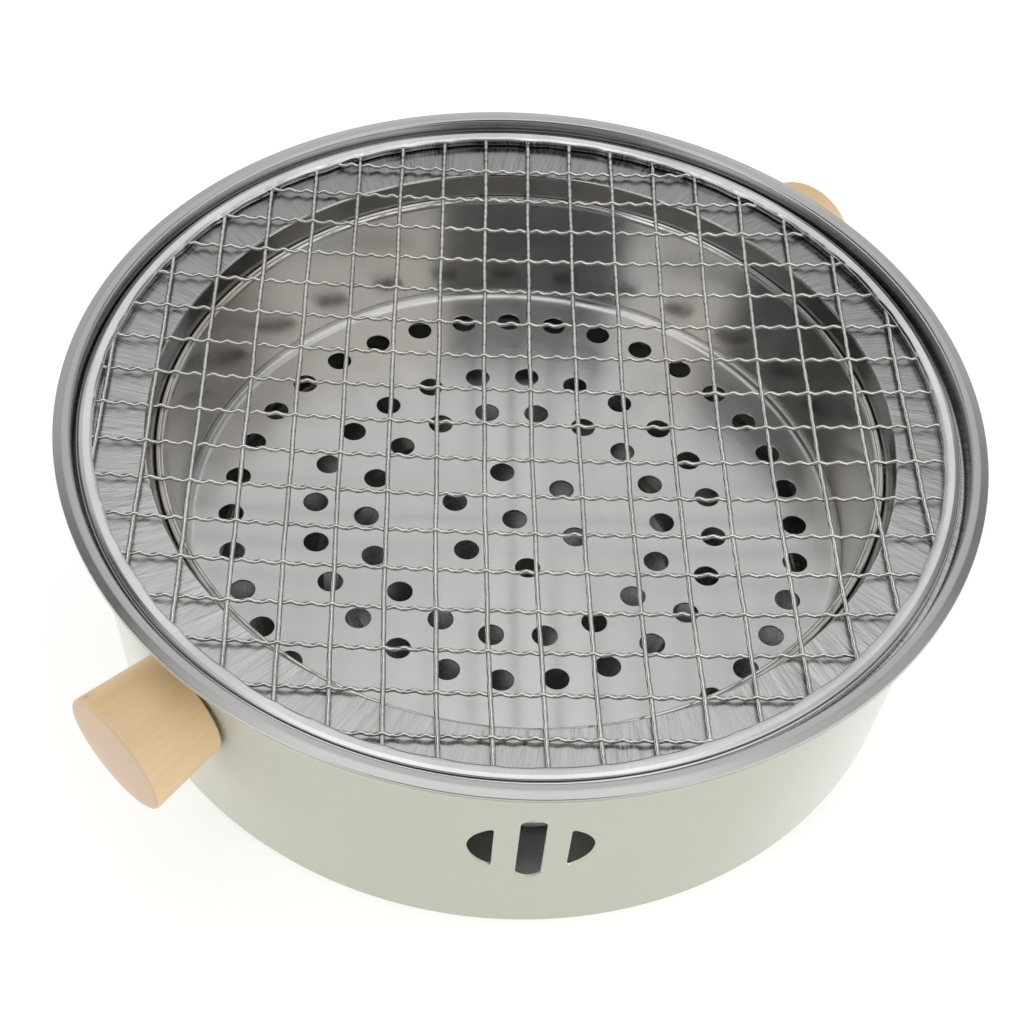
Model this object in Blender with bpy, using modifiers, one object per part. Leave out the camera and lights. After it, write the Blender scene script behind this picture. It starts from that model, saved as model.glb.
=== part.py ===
"""Round portable tabletop charcoal grill, about 320 mm across.

Frame: metres, +Z up, origin on the drum's axis at the level of the feet,
handles on the X axis.  All dimensions below are in millimetres and are turned
into metres by mm().

Stack, from the table up: rubber feet, painted drum with a base plate, ash
tray, stainless collar, charcoal basin with a perforated bottom, wire grill.
"""
import math

import bpy
import bmesh
from mathutils import Matrix, Vector

# ---------------------------------------------------------------- dimensions
SEG = 48                  # facets round each large turned piece
GAP = 0.3                 # clearance between neighbouring pieces

FOOT_H = 6.0              # table to the underside of the drum
RIM_Z = FOOT_H + 95.5     # level of the collar rim's widest line
RIM_R = 160.0             # collar rim, outer radius

# painted drum
DRUM_T = 1.0
DRUM_R_BOTTOM = 145.3
DRUM_TAPER = 0.0842       # radius gained per unit of height
DRUM_FLANGE_R = 159.9     # outward flange under the collar rim
DRUM_FLOOR_IN_R = 112.0   # inner edge of the turned-in bottom flange

# air vents: a round-ended slot between two D openings, four sets
VENT_Z = FOOT_H + 51.2
VENT_ANGLES = (44.4, 134.4, 224.4, 314.4)
SLOT_W, SLOT_H, SLOT_RISE = 8.4, 38.0, 2.8
D_NEAR, D_FAR, D_H = 12.2, 20.4, 24.6

# handles: turned hardwood knobs, wider at the outer end
HANDLE_TILT = 5.4         # degrees below horizontal
HANDLE_TOE = 2.8          # each knob sits this far round from the X axis, towards +Y
HANDLE_AXIS_Z = RIM_Z - 33.5   # height of the axis at the rim's radius
HANDLE_ROOT_R, HANDLE_END_R = 18.8, 21.8
HANDLE_START = 151.1      # root face, radius from the drum's axis
HANDLE_LEN = 27.8         # root face to the edge of the crown
HANDLE_CROWN = 2.0
SCREW_R, SCREW_HOLE_R = 2.4, 2.9
SCREW_BORE = 17.0         # depth of the bore in the handle

# stainless collar: rim, seat for the grill, shelf, step down to a ledge
COLLAR_T = 0.8
SHELF_OPEN_R = 129.7
LEDGE_Z = RIM_Z - 17.6
LEDGE_IN_R = 124.9

# charcoal basin
BASIN_T = 0.8
BASIN_TOP_Z = RIM_Z - 15.6
BASIN_FLOOR_Z = RIM_Z - 59.6
BASIN_TOP_R, BASIN_FLOOR_R = 123.6, 119.2
BEAD_R = 1.4
HOLE_R = 4.5
HOLE_SEG = 8
# rings of air holes in the basin floor: count, pitch radius, first angle
HOLE_RINGS = ((36, 103.1, 4.1), (24, 73.0, 9.1), (18, 54.1, 14.0), (6, 23.2, -5.7))

# base plate, feet, ash tray
PLATE_R, PLATE_T = 141.0, 0.8
FOOT_PITCH_R, FOOT_R_TOP, FOOT_R_BOTTOM = 126.0, 10.5, 9.0
FOOT_ANGLES = (0.0, 90.0, 180.0, 270.0)
TRAY_R_TOP, TRAY_R_BOTTOM, TRAY_H, TRAY_T = 118.0, 112.0, 14.0, 0.8

# wire grill
WIRE_W, WIRE_H, WIRE_LIFT = 1.3, 1.2, 0.3
BAND_OUT_R, BAND_IN_R, BAND_T = 151.7, 146.2, 0.5
BAND_Z0, BAND_Z1 = RIM_Z - 6.9, RIM_Z - 3.5
WIRE_Z = (BAND_Z0 + BAND_Z1) / 2
WIRE_END_R = BAND_OUT_R - BAND_T - 1.0
PITCH_A, PITCH_B = 16.11, 16.50      # spacing of the two sets of wires
GRID_ANGLE = -47.2                   # direction of the spacing of set A
GRID_OFF_A, GRID_OFF_B = 1.93, -3.55 # offset of the wire nearest the centre
GRID_LAST = 144.0                    # no wire lies further out than this


def mm(v):
    """Millimetres to metres."""
    return v * 0.001


# ------------------------------------------------------------- empty the file
for old in list(bpy.data.objects):
    bpy.data.objects.remove(old, do_unlink=True)

parts = bpy.data.collections.new("tabletop_grill")
bpy.context.scene.collection.children.link(parts)
cutters = bpy.data.collections.new("cutters")
bpy.context.scene.collection.children.link(cutters)


def material(name, colour, metallic, roughness):
    m = bpy.data.materials.new(name)
    m.use_nodes = True
    b = m.node_tree.nodes["Principled BSDF"]
    b.inputs["Base Color"].default_value = (*colour, 1.0)
    b.inputs["Metallic"].default_value = metallic
    b.inputs["Roughness"].default_value = roughness
    return m


# ------------------------------------------------------------------- helpers
def add(name, mesh, mat=None, group=None):
    ob = bpy.data.objects.new(name, mesh)
    (group or parts).objects.link(ob)
    if mat is not None:
        mesh.materials.append(mat)
    return ob


def make_cutter(ob):
    ob.display_type = 'WIRE'
    ob.hide_render = True
    return ob


def lathe(name, outline, mat, closed=True, steps=SEG, group=None):
    """Turn an outline of (radius, height) points about the local Z axis.

    A closed outline is a ring; an open one starts and ends on the axis.
    Outlines run down their outer side.
    """
    mesh = bpy.data.meshes.new(name)
    pts = [(mm(r), 0.0, mm(z)) for r, z in outline]
    edges = [(i, i + 1) for i in range(len(pts) - 1)]
    if closed:
        edges.append((len(pts) - 1, 0))
    mesh.from_pydata(pts, edges, [])
    ob = add(name, mesh, mat, group)
    mod = ob.modifiers.new("Turn", 'SCREW')
    mod.axis = 'Z'
    mod.angle = math.tau
    mod.steps = steps
    mod.render_steps = steps
    mod.use_merge_vertices = True
    mod.merge_threshold = 0.00001
    mod.use_smooth_shade = True
    return ob


def offset(path, t):
    """The path moved sideways by t (to its right, walking along it), mitred."""
    out = []
    for i, (x, z) in enumerate(path):
        dirs = []
        if i > 0:
            dirs.append(Vector((x - path[i - 1][0], z - path[i - 1][1])).normalized())
        if i < len(path) - 1:
            dirs.append(Vector((path[i + 1][0] - x, path[i + 1][1] - z)).normalized())
        normals = [Vector((d.y, -d.x)) for d in dirs]
        n = sum(normals, Vector((0.0, 0.0))).normalized()
        k = t / max(n.dot(normals[0]), 0.35)
        out.append((x + n.x * k, z + n.y * k))
    return out


def sheet(path, t):
    """Closed outline of a sheet whose one face follows the path.

    The path runs up or inwards along the upper, inner face; the outline goes
    back along the outer, lower face.
    """
    return list(path) + list(reversed(offset(path, t)))


def subtract(ob, cutter):
    mod = ob.modifiers.new("Cut " + cutter.name, 'BOOLEAN')
    mod.operation = 'DIFFERENCE'
    mod.solver = 'EXACT'
    mod.object = cutter


def unite(ob, other):
    mod = ob.modifiers.new("Join " + other.name, 'BOOLEAN')
    mod.operation = 'UNION'
    mod.solver = 'EXACT'
    mod.object = other


def flat_solid(name, outlines, depth):
    """Solid plates of the given XY outlines, centred on Z = 0, as one mesh."""
    curve = bpy.data.curves.new(name + "_curve", 'CURVE')
    curve.dimensions = '2D'
    curve.fill_mode = 'BOTH'
    curve.extrude = mm(depth) / 2
    for outline in outlines:
        sp = curve.splines.new('POLY')
        sp.points.add(len(outline) - 1)
        for p, (x, y) in zip(sp.points, outline):
            p.co = (mm(x), mm(y), 0.0, 1.0)
        sp.use_cyclic_u = True
    tmp = bpy.data.objects.new(name + "_tmp", curve)
    cutters.objects.link(tmp)
    bpy.context.view_layer.update()
    mesh = bpy.data.meshes.new_from_object(tmp.evaluated_get(bpy.context.evaluated_depsgraph_get()))
    bpy.data.objects.remove(tmp, do_unlink=True)
    bm = bmesh.new()
    bm.from_mesh(mesh)
    bmesh.ops.remove_doubles(bm, verts=bm.verts, dist=0.00001)
    bmesh.ops.recalc_face_normals(bm, faces=bm.faces)
    bm.to_mesh(mesh)
    bm.free()
    return mesh


def rods(name, places, r, length, seg, group=None):
    """Upright cylinders at (x, y, z of the lower end), all in one mesh."""
    mesh = bpy.data.meshes.new(name)
    bm = bmesh.new()
    for x, y, z in places:
        bmesh.ops.create_cone(
            bm, cap_ends=True, segments=seg, radius1=mm(r), radius2=mm(r), depth=mm(length),
            matrix=Matrix.Translation((mm(x), mm(y), mm(z + length / 2))))
    bm.to_mesh(mesh)
    bm.free()
    return add(name, mesh, None, group or cutters)


def polar(r, deg):
    a = math.radians(deg)
    return r * math.cos(a), r * math.sin(a)


cream = material("cream_paint", (0.66, 0.65, 0.56), 0.0, 0.45)
steel = material("stainless", (0.62, 0.61, 0.59), 1.0, 0.30)
polished = material("polished_stainless", (0.66, 0.65, 0.63), 1.0, 0.12)
zinc = material("zinc_plated", (0.55, 0.56, 0.58), 1.0, 0.35)
wood = material("beech", (0.72, 0.53, 0.33), 0.0, 0.5)
rubber = material("rubber", (0.03, 0.03, 0.03), 0.0, 0.8)
wire = material("bright_wire", (0.60, 0.58, 0.55), 1.0, 0.28)


# -------------------------------------------------------------- painted drum
def drum_r(z):
    return DRUM_R_BOTTOM + DRUM_TAPER * (z - FOOT_H)


neck = RIM_Z - 10.9       # the wall steps out here to clear the collar's seat
seat_r = 156.2
outer_face = [
    (DRUM_FLOOR_IN_R, FOOT_H),
    (DRUM_R_BOTTOM - 1.2, FOOT_H),
    (drum_r(FOOT_H + 1.4), FOOT_H + 1.4),
    (drum_r(neck), neck),
    (seat_r - 0.7, neck + 1.4),
    (seat_r, neck + 2.5),
    (seat_r + 0.05, RIM_Z - 3.3),
    (seat_r + 0.8, RIM_Z - 2.35),
    (DRUM_FLANGE_R, RIM_Z - 2.25),
]
inner_face = offset(outer_face, -DRUM_T)
drum = lathe("outer_shell", list(reversed(outer_face)) + inner_face, cream)

# vent openings, cut square to the wall
slot = []
arc_r = ((SLOT_W / 2) ** 2 + SLOT_RISE ** 2) / (2 * SLOT_RISE)
half = math.asin(min(1.0, (SLOT_W / 2) / arc_r))
for sign in (1, -1):
    cy = sign * (SLOT_H / 2 - arc_r)
    for k in range(5):
        a = half - 2 * half * k / 4
        slot.append((sign * arc_r * math.sin(a), cy + sign * arc_r * math.cos(a)))
d_r = ((D_H / 2) ** 2 + (D_FAR - D_NEAR) ** 2) / (2 * (D_FAR - D_NEAR))
d_c = D_FAR - d_r
d_half = math.atan2(D_H / 2, D_NEAR - d_c)
d_right = [(d_c + d_r * math.cos(-d_half + 2 * d_half * k / 8),
            d_r * math.sin(-d_half + 2 * d_half * k / 8)) for k in range(9)]
d_left = [(-x, y) for x, y in reversed(d_right)]
vent_mesh = flat_solid("vent", [slot, d_right, d_left], 14.0)
slope = math.atan(DRUM_TAPER)
for i, ang in enumerate(VENT_ANGLES):
    cut = make_cutter(add("cut_vent_%d" % (i + 1), vent_mesh, None, cutters))
    x, y = polar(drum_r(VENT_Z), ang)
    cut.location = (mm(x), mm(y), mm(VENT_Z))
    cut.rotation_euler = (math.radians(90) + slope, 0.0, math.radians(ang + 90))
    subtract(drum, cut)

# holes for the handle screws, on the handles' axes
tilt = math.radians(HANDLE_TILT)


def handle_angle(side):
    return math.radians(HANDLE_TOE if side > 0 else 180.0 - HANDLE_TOE)


def handle_point(side, along):
    """Point on a handle's axis, at the given radius from the drum's axis."""
    a = handle_angle(side)
    return Vector((mm(along) * math.cos(a), mm(along) * math.sin(a),
                   mm(HANDLE_AXIS_Z + (RIM_R - along) * math.tan(tilt))))


def handle_turn(side):
    """Turn local +Z to a handle's outward direction."""
    return (0.0, math.radians(90) + tilt, handle_angle(side))


screw_hole = bpy.data.meshes.new("cut_handle_hole")
bm = bmesh.new()
bmesh.ops.create_cone(bm, cap_ends=True, segments=12, radius1=mm(SCREW_HOLE_R),
                      radius2=mm(SCREW_HOLE_R), depth=mm(20.0))
bm.to_mesh(screw_hole)
bm.free()
for label, side in (("right", 1), ("left", -1)):
    cut = make_cutter(add("cut_handle_hole_" + label, screw_hole, None, cutters))
    cut.location = handle_point(side, drum_r(HANDLE_AXIS_Z))
    cut.rotation_euler = handle_turn(side)
    subtract(drum, cut)

# holes for the foot screws, through the drum's bottom flange and base plate
FOOT_HOLE_R = 2.3
foot_places = [polar(FOOT_PITCH_R, a) for a in FOOT_ANGLES]
cut_feet = make_cutter(rods("cut_foot_holes", [(x, y, FOOT_H - 2) for x, y in foot_places],
                            FOOT_HOLE_R, 8.0, 10))
subtract(drum, cut_feet)

# ---------------------------------------------------------------- base plate
PLATE_Z = FOOT_H + DRUM_T + GAP
base = lathe("base_plate", [
    (0.0, PLATE_Z + PLATE_T),
    (PLATE_R - 1.8, PLATE_Z + PLATE_T),
    (PLATE_R - 0.9, PLATE_Z + 3.0),
    (PLATE_R - 0.1, PLATE_Z + 3.0),
    (PLATE_R - 1.0, PLATE_Z),
    (0.0, PLATE_Z),
], zinc, closed=False, steps=32)
subtract(base, cut_feet)

# ------------------------------------------------------------ feet and screws
foot_top = FOOT_H - GAP
foot_mesh = None
FOOT_BORE_Z = 1.6
for i, (x, y) in enumerate(foot_places):
    if foot_mesh is None:
        foot = lathe("foot_1", [
            (0.0, FOOT_BORE_Z), (FOOT_HOLE_R, FOOT_BORE_Z), (FOOT_HOLE_R, foot_top),
            (FOOT_R_TOP, foot_top), (FOOT_R_BOTTOM, 0.8), (FOOT_R_BOTTOM - 0.8, 0.0), (0.0, 0.0),
        ], rubber, closed=False, steps=16)
        foot_mesh = foot.data
    else:
        foot = foot.copy()
        foot.name = "foot_%d" % (i + 1)
        parts.objects.link(foot)
    foot.location = (mm(x), mm(y), 0.0)

head_z = PLATE_Z + PLATE_T + GAP
for i, (x, y) in enumerate(foot_places):
    if i == 0:
        screw = lathe("foot_screw_1", [
            (0.0, head_z + 2.2), (2.2, head_z + 2.2), (3.6, head_z + 1.2), (3.8, head_z),
            (1.9, head_z), (1.9, FOOT_BORE_Z + 1.2), (1.3, FOOT_BORE_Z + GAP), (0.0, FOOT_BORE_Z + GAP),
        ], zinc, closed=False, steps=10)
    else:
        screw = screw.copy()
        screw.name = "foot_screw_%d" % (i + 1)
        parts.objects.link(screw)
    screw.location = (mm(x), mm(y), 0.0)

# ------------------------------------------------- handles and their fixings
crown = []
edge = 1.6
for k in range(4):
    f = k / 3
    crown.append((HANDLE_END_R * 0.72 * f, HANDLE_LEN + HANDLE_CROWN * (1 - (0.72 * f) ** 2 * 0.9)))
handle_outline = crown + [
    (HANDLE_END_R - edge, HANDLE_LEN + 0.45),
    (HANDLE_END_R - 0.3, HANDLE_LEN - 0.5),
    (HANDLE_END_R, HANDLE_LEN - 1.9),
    (HANDLE_ROOT_R, 0.5),
    (HANDLE_ROOT_R - 0.5, 0.0),
    (SCREW_HOLE_R, 0.0),
    (SCREW_HOLE_R, SCREW_BORE),
    (0.0, SCREW_BORE),
]
WASHER_R, WASHER_T = 7.5, 1.0
inner_wall = drum_r(HANDLE_AXIS_Z) - DRUM_T / math.cos(slope)
washer_at = inner_wall - 1.5          # washer's outer face, radius from the drum's axis
for label, side in (("right", 1), ("left", -1)):
    knob = lathe("handle_" + label, handle_outline, wood, closed=False, steps=24)
    knob.location = handle_point(side, HANDLE_START)
    knob.rotation_euler = handle_turn(side)

    washer = lathe("handle_washer_" + label, [
        (WASHER_R, 0.0), (WASHER_R, -WASHER_T), (SCREW_HOLE_R, -WASHER_T), (SCREW_HOLE_R, 0.0),
    ], zinc, steps=16)
    washer.location = handle_point(side, washer_at)
    washer.rotation_euler = handle_turn(side)

    under = -WASHER_T - GAP
    reach = (HANDLE_START - washer_at) / math.cos(tilt) + SCREW_BORE - 1.0
    bolt = lathe("handle_screw_" + label, [
        (0.0, reach), (1.4, reach), (SCREW_R, reach - 2.0), (SCREW_R, under), (4.6, under),
        (4.3, under - 1.9), (2.8, under - 2.8), (0.0, under - 2.8),
    ], zinc, closed=False, steps=12)
    bolt.location = handle_point(side, washer_at)
    bolt.rotation_euler = handle_turn(side)

# ------------------------------------------------------------------ ash tray
TRAY_Z = PLATE_Z + PLATE_T + GAP
lathe("ash_tray", [
    (0.0, TRAY_Z + TRAY_T),
    (TRAY_R_BOTTOM - 2.4, TRAY_Z + TRAY_T),
    (TRAY_R_BOTTOM - 0.6, TRAY_Z + 2.4),
    (TRAY_R_TOP - 3.2, TRAY_Z + TRAY_H),
    (TRAY_R_TOP, TRAY_Z + TRAY_H),
    (TRAY_R_TOP, TRAY_Z + TRAY_H - TRAY_T),
    (TRAY_R_TOP - 2.6, TRAY_Z + TRAY_H - TRAY_T),
    (TRAY_R_BOTTOM + 0.2, TRAY_Z + 2.2),
    (TRAY_R_BOTTOM - 2.0, TRAY_Z),
    (0.0, TRAY_Z),
], steel, closed=False, steps=32)

# -------------------------------------------------------------------- collar
collar_face = [
    (RIM_R, RIM_Z - 0.9),
    (RIM_R, RIM_Z - 0.3),
    (RIM_R - 0.6, RIM_Z + 0.15),
    (157.0, RIM_Z + 0.6),
    (154.5, RIM_Z + 0.6),
    (153.9, RIM_Z + 0.1),
    (153.5, RIM_Z - 6.3),
    (152.4, RIM_Z - 7.25),
    (SHELF_OPEN_R + 0.5, RIM_Z - 7.6),
    (SHELF_OPEN_R - 0.3, RIM_Z - 8.4),
    (127.8, LEDGE_Z + 0.8),
    (127.2, LEDGE_Z),
    (LEDGE_IN_R, LEDGE_Z),
]
under_face = offset(collar_face, -COLLAR_T)
under_face[0] = (RIM_R - 0.8, RIM_Z - 0.9)
under_face[1] = (RIM_R - 0.8, RIM_Z - 0.55)
lathe("collar_ring", list(reversed(collar_face)) + under_face, steel)

# ------------------------------------------------------------- charcoal basin
wall = (BASIN_TOP_R - BASIN_FLOOR_R) / (BASIN_TOP_Z - BASIN_FLOOR_Z)
fil = 2.5
basin_inside = [
    (0.0, BASIN_FLOOR_Z),
    (BASIN_FLOOR_R - fil, BASIN_FLOOR_Z),
    (BASIN_FLOOR_R - 0.55, BASIN_FLOOR_Z + 0.9),
    (BASIN_FLOOR_R + wall * fil, BASIN_FLOOR_Z + fil),
    (BASIN_TOP_R, BASIN_TOP_Z + 0.3),
    (BASIN_TOP_R + 0.5, BASIN_TOP_Z + 1.1),
]
bead_c = (BASIN_TOP_R + 1.75, BASIN_TOP_Z + 0.05)
basin_outside = [
    (bead_c[0] + 0.4, bead_c[1] + BEAD_R),
    (bead_c[0] + BEAD_R, bead_c[1] + 0.3),
    (bead_c[0] + BEAD_R - 0.2, bead_c[1] - 0.9),
    (bead_c[0] + 0.2, bead_c[1] - BEAD_R),
    (BASIN_TOP_R + BASIN_T, BASIN_TOP_Z - 1.2),
    (BASIN_FLOOR_R + BASIN_T + wall * fil, BASIN_FLOOR_Z + fil - 0.2),
    (BASIN_FLOOR_R + 0.1, BASIN_FLOOR_Z + 0.1),
    (BASIN_FLOOR_R - fil + 0.2, BASIN_FLOOR_Z - BASIN_T),
    (0.0, BASIN_FLOOR_Z - BASIN_T),
]
basin = lathe("charcoal_basin", basin_inside + basin_outside, polished, closed=False)
holes = [(0.0, 0.0)]
for count, pitch, first in HOLE_RINGS:
    holes += [polar(pitch, first + 360.0 * k / count) for k in range(count)]
cut_air = make_cutter(rods("cut_air_holes", [(x, y, BASIN_FLOOR_Z - 3) for x, y in holes],
                           HOLE_R, 5.0, HOLE_SEG))
subtract(basin, cut_air)

# ---------------------------------------------------------------- wire grill
lathe("grill_band", [
    (BAND_IN_R, BAND_Z1 - 0.1), (BAND_OUT_R - 0.7, BAND_Z1), (BAND_OUT_R, BAND_Z1 - 0.7),
    (BAND_OUT_R, BAND_Z0 + 0.7), (BAND_OUT_R - 0.7, BAND_Z0), (BAND_IN_R, BAND_Z0 + 0.1),
    (BAND_IN_R, BAND_Z0 + BAND_T), (BAND_OUT_R - BAND_T, BAND_Z0 + BAND_T),
    (BAND_OUT_R - BAND_T, BAND_Z1 - BAND_T), (BAND_IN_R, BAND_Z1 - BAND_T),
], steel)


def wire_set(name, pitch, off, turn_deg, dz, group):
    """Straight wires, square in section, side by side across the circle."""
    mesh = bpy.data.meshes.new(name)
    bm = bmesh.new()
    turn = Matrix.Rotation(math.radians(turn_deg), 4, 'Z')
    first = int(math.ceil((-GRID_LAST - off) / pitch))
    last = int(math.floor((GRID_LAST - off) / pitch))
    for k in range(first, last + 1):
        x = off + k * pitch
        reach = math.sqrt(WIRE_END_R ** 2 - (abs(x) + WIRE_W / 2) ** 2)
        size = Matrix.Diagonal((mm(WIRE_W), mm(2 * reach), mm(WIRE_H), 1.0))
        place = turn @ Matrix.Translation((mm(x), 0.0, mm(WIRE_Z + dz))) @ size
        bmesh.ops.create_cube(bm, size=1.0, matrix=place)
    bm.to_mesh(mesh)
    bm.free()
    return add(name, mesh, wire if group is parts else None, group)


wires = wire_set("grill_wires", PITCH_A, GRID_OFF_A, GRID_ANGLE, WIRE_LIFT, parts)
cross = make_cutter(wire_set("join_cross_wires", PITCH_B, GRID_OFF_B, GRID_ANGLE + 90.0,
                             -WIRE_LIFT, cutters))
unite(wires, cross)
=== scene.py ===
"""Looks for the portable tabletop grill: fine meshes, materials, studio and camera.

Lengths are in millimetres and are turned into metres when a mesh is made.
"""
import math

import bpy
import bmesh
import numpy as np
from mathutils import Matrix, Vector
from mathutils.geometry import delaunay_2d_cdt


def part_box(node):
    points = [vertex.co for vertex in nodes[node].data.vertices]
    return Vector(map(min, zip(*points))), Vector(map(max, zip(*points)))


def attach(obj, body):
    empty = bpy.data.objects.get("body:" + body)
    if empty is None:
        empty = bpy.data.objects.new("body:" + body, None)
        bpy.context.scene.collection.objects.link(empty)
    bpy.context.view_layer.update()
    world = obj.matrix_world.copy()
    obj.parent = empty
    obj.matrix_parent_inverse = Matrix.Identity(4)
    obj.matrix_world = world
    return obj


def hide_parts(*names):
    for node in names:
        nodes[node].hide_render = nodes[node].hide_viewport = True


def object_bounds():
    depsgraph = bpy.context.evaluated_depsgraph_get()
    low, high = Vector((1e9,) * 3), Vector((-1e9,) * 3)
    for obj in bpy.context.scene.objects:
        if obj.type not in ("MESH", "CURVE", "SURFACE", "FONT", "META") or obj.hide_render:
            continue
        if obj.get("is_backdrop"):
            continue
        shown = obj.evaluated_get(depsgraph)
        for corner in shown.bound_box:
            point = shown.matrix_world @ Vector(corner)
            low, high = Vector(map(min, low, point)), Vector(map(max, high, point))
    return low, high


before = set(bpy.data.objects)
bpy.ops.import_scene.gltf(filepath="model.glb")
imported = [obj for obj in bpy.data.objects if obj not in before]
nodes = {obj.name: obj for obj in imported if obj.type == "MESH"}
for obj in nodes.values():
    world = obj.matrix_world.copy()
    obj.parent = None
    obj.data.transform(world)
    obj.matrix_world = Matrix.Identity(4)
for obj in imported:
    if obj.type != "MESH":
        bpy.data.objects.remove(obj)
cad_lo, cad_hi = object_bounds()

TAU = math.tau
N = 384                                   # facets round a large turned piece


def box_mm(node):
    lo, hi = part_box(node)
    return np.array(lo) * 1000.0, np.array(hi) * 1000.0


# anchors from the frame
collar_box = box_mm("collar_ring")
shell_box = box_mm("outer_shell")
basin_box = box_mm("charcoal_basin")
band_box = box_mm("grill_band")
tray_box = box_mm("ash_tray")
plate_box = box_mm("base_plate")
foot_box = box_mm("foot_1")
RIM_R = collar_box[1][0]                  # 160.0
RIM_Z = collar_box[1][2] - 0.6            # 101.5
FOOT_H = shell_box[0][2]                  # 6.0
FLOOR_LEVEL = (RIM_Z - 59.6) * 0.001       # basin floor, metres
SLOPE = 0.0842
DRUM_R0 = 145.3


def drum_r(z):
    return DRUM_R0 + SLOPE * (z - FOOT_H)


# ------------------------------------------------------------------ geometry
def rounded(path, closed=False, n=6):
    """Path of (x, y[, radius]) with each corner turned into an arc."""
    pts = [np.array(p[:2], float) for p in path]
    rad = [p[2] if len(p) > 2 else 0.0 for p in path]
    out = []
    m = len(pts)
    for i in range(m):
        if rad[i] <= 0 or (not closed and i in (0, m - 1)):
            out.append(pts[i])
            continue
        a, b, c = pts[i - 1], pts[i], pts[(i + 1) % m]
        la, lc = np.linalg.norm(a - b), np.linalg.norm(c - b)
        u, v = (a - b) / la, (c - b) / lc
        ang = math.acos(max(-1.0, min(1.0, float(u @ v))))
        if ang > math.pi - 0.01:
            out.append(b)
            continue
        t = min(rad[i] / math.tan(ang / 2), 0.49 * la, 0.49 * lc)
        r = t * math.tan(ang / 2)
        w = (u + v) / np.linalg.norm(u + v)
        centre = b + w * (r / math.sin(ang / 2))
        s, e = b + u * t - centre, b + v * t - centre
        total = math.pi - ang
        for k in range(n + 1):
            f = k / n
            out.append(centre + (math.sin((1 - f) * total) * s + math.sin(f * total) * e) / math.sin(total))
    return np.array(out)


def side_step(path, t):
    """The path moved sideways by t, to its right when walking along it."""
    p = np.asarray(path, float)
    d = np.diff(p, axis=0)
    d /= np.linalg.norm(d, axis=1)[:, None]
    nrm = np.stack([d[:, 1], -d[:, 0]], 1)
    a = np.vstack([nrm[:1], nrm])
    b = np.vstack([nrm, nrm[-1:]])
    m = a + b
    m /= np.linalg.norm(m, axis=1)[:, None]
    k = t / np.maximum((m * a).sum(1), 0.5)
    return p + m * k[:, None]


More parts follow.
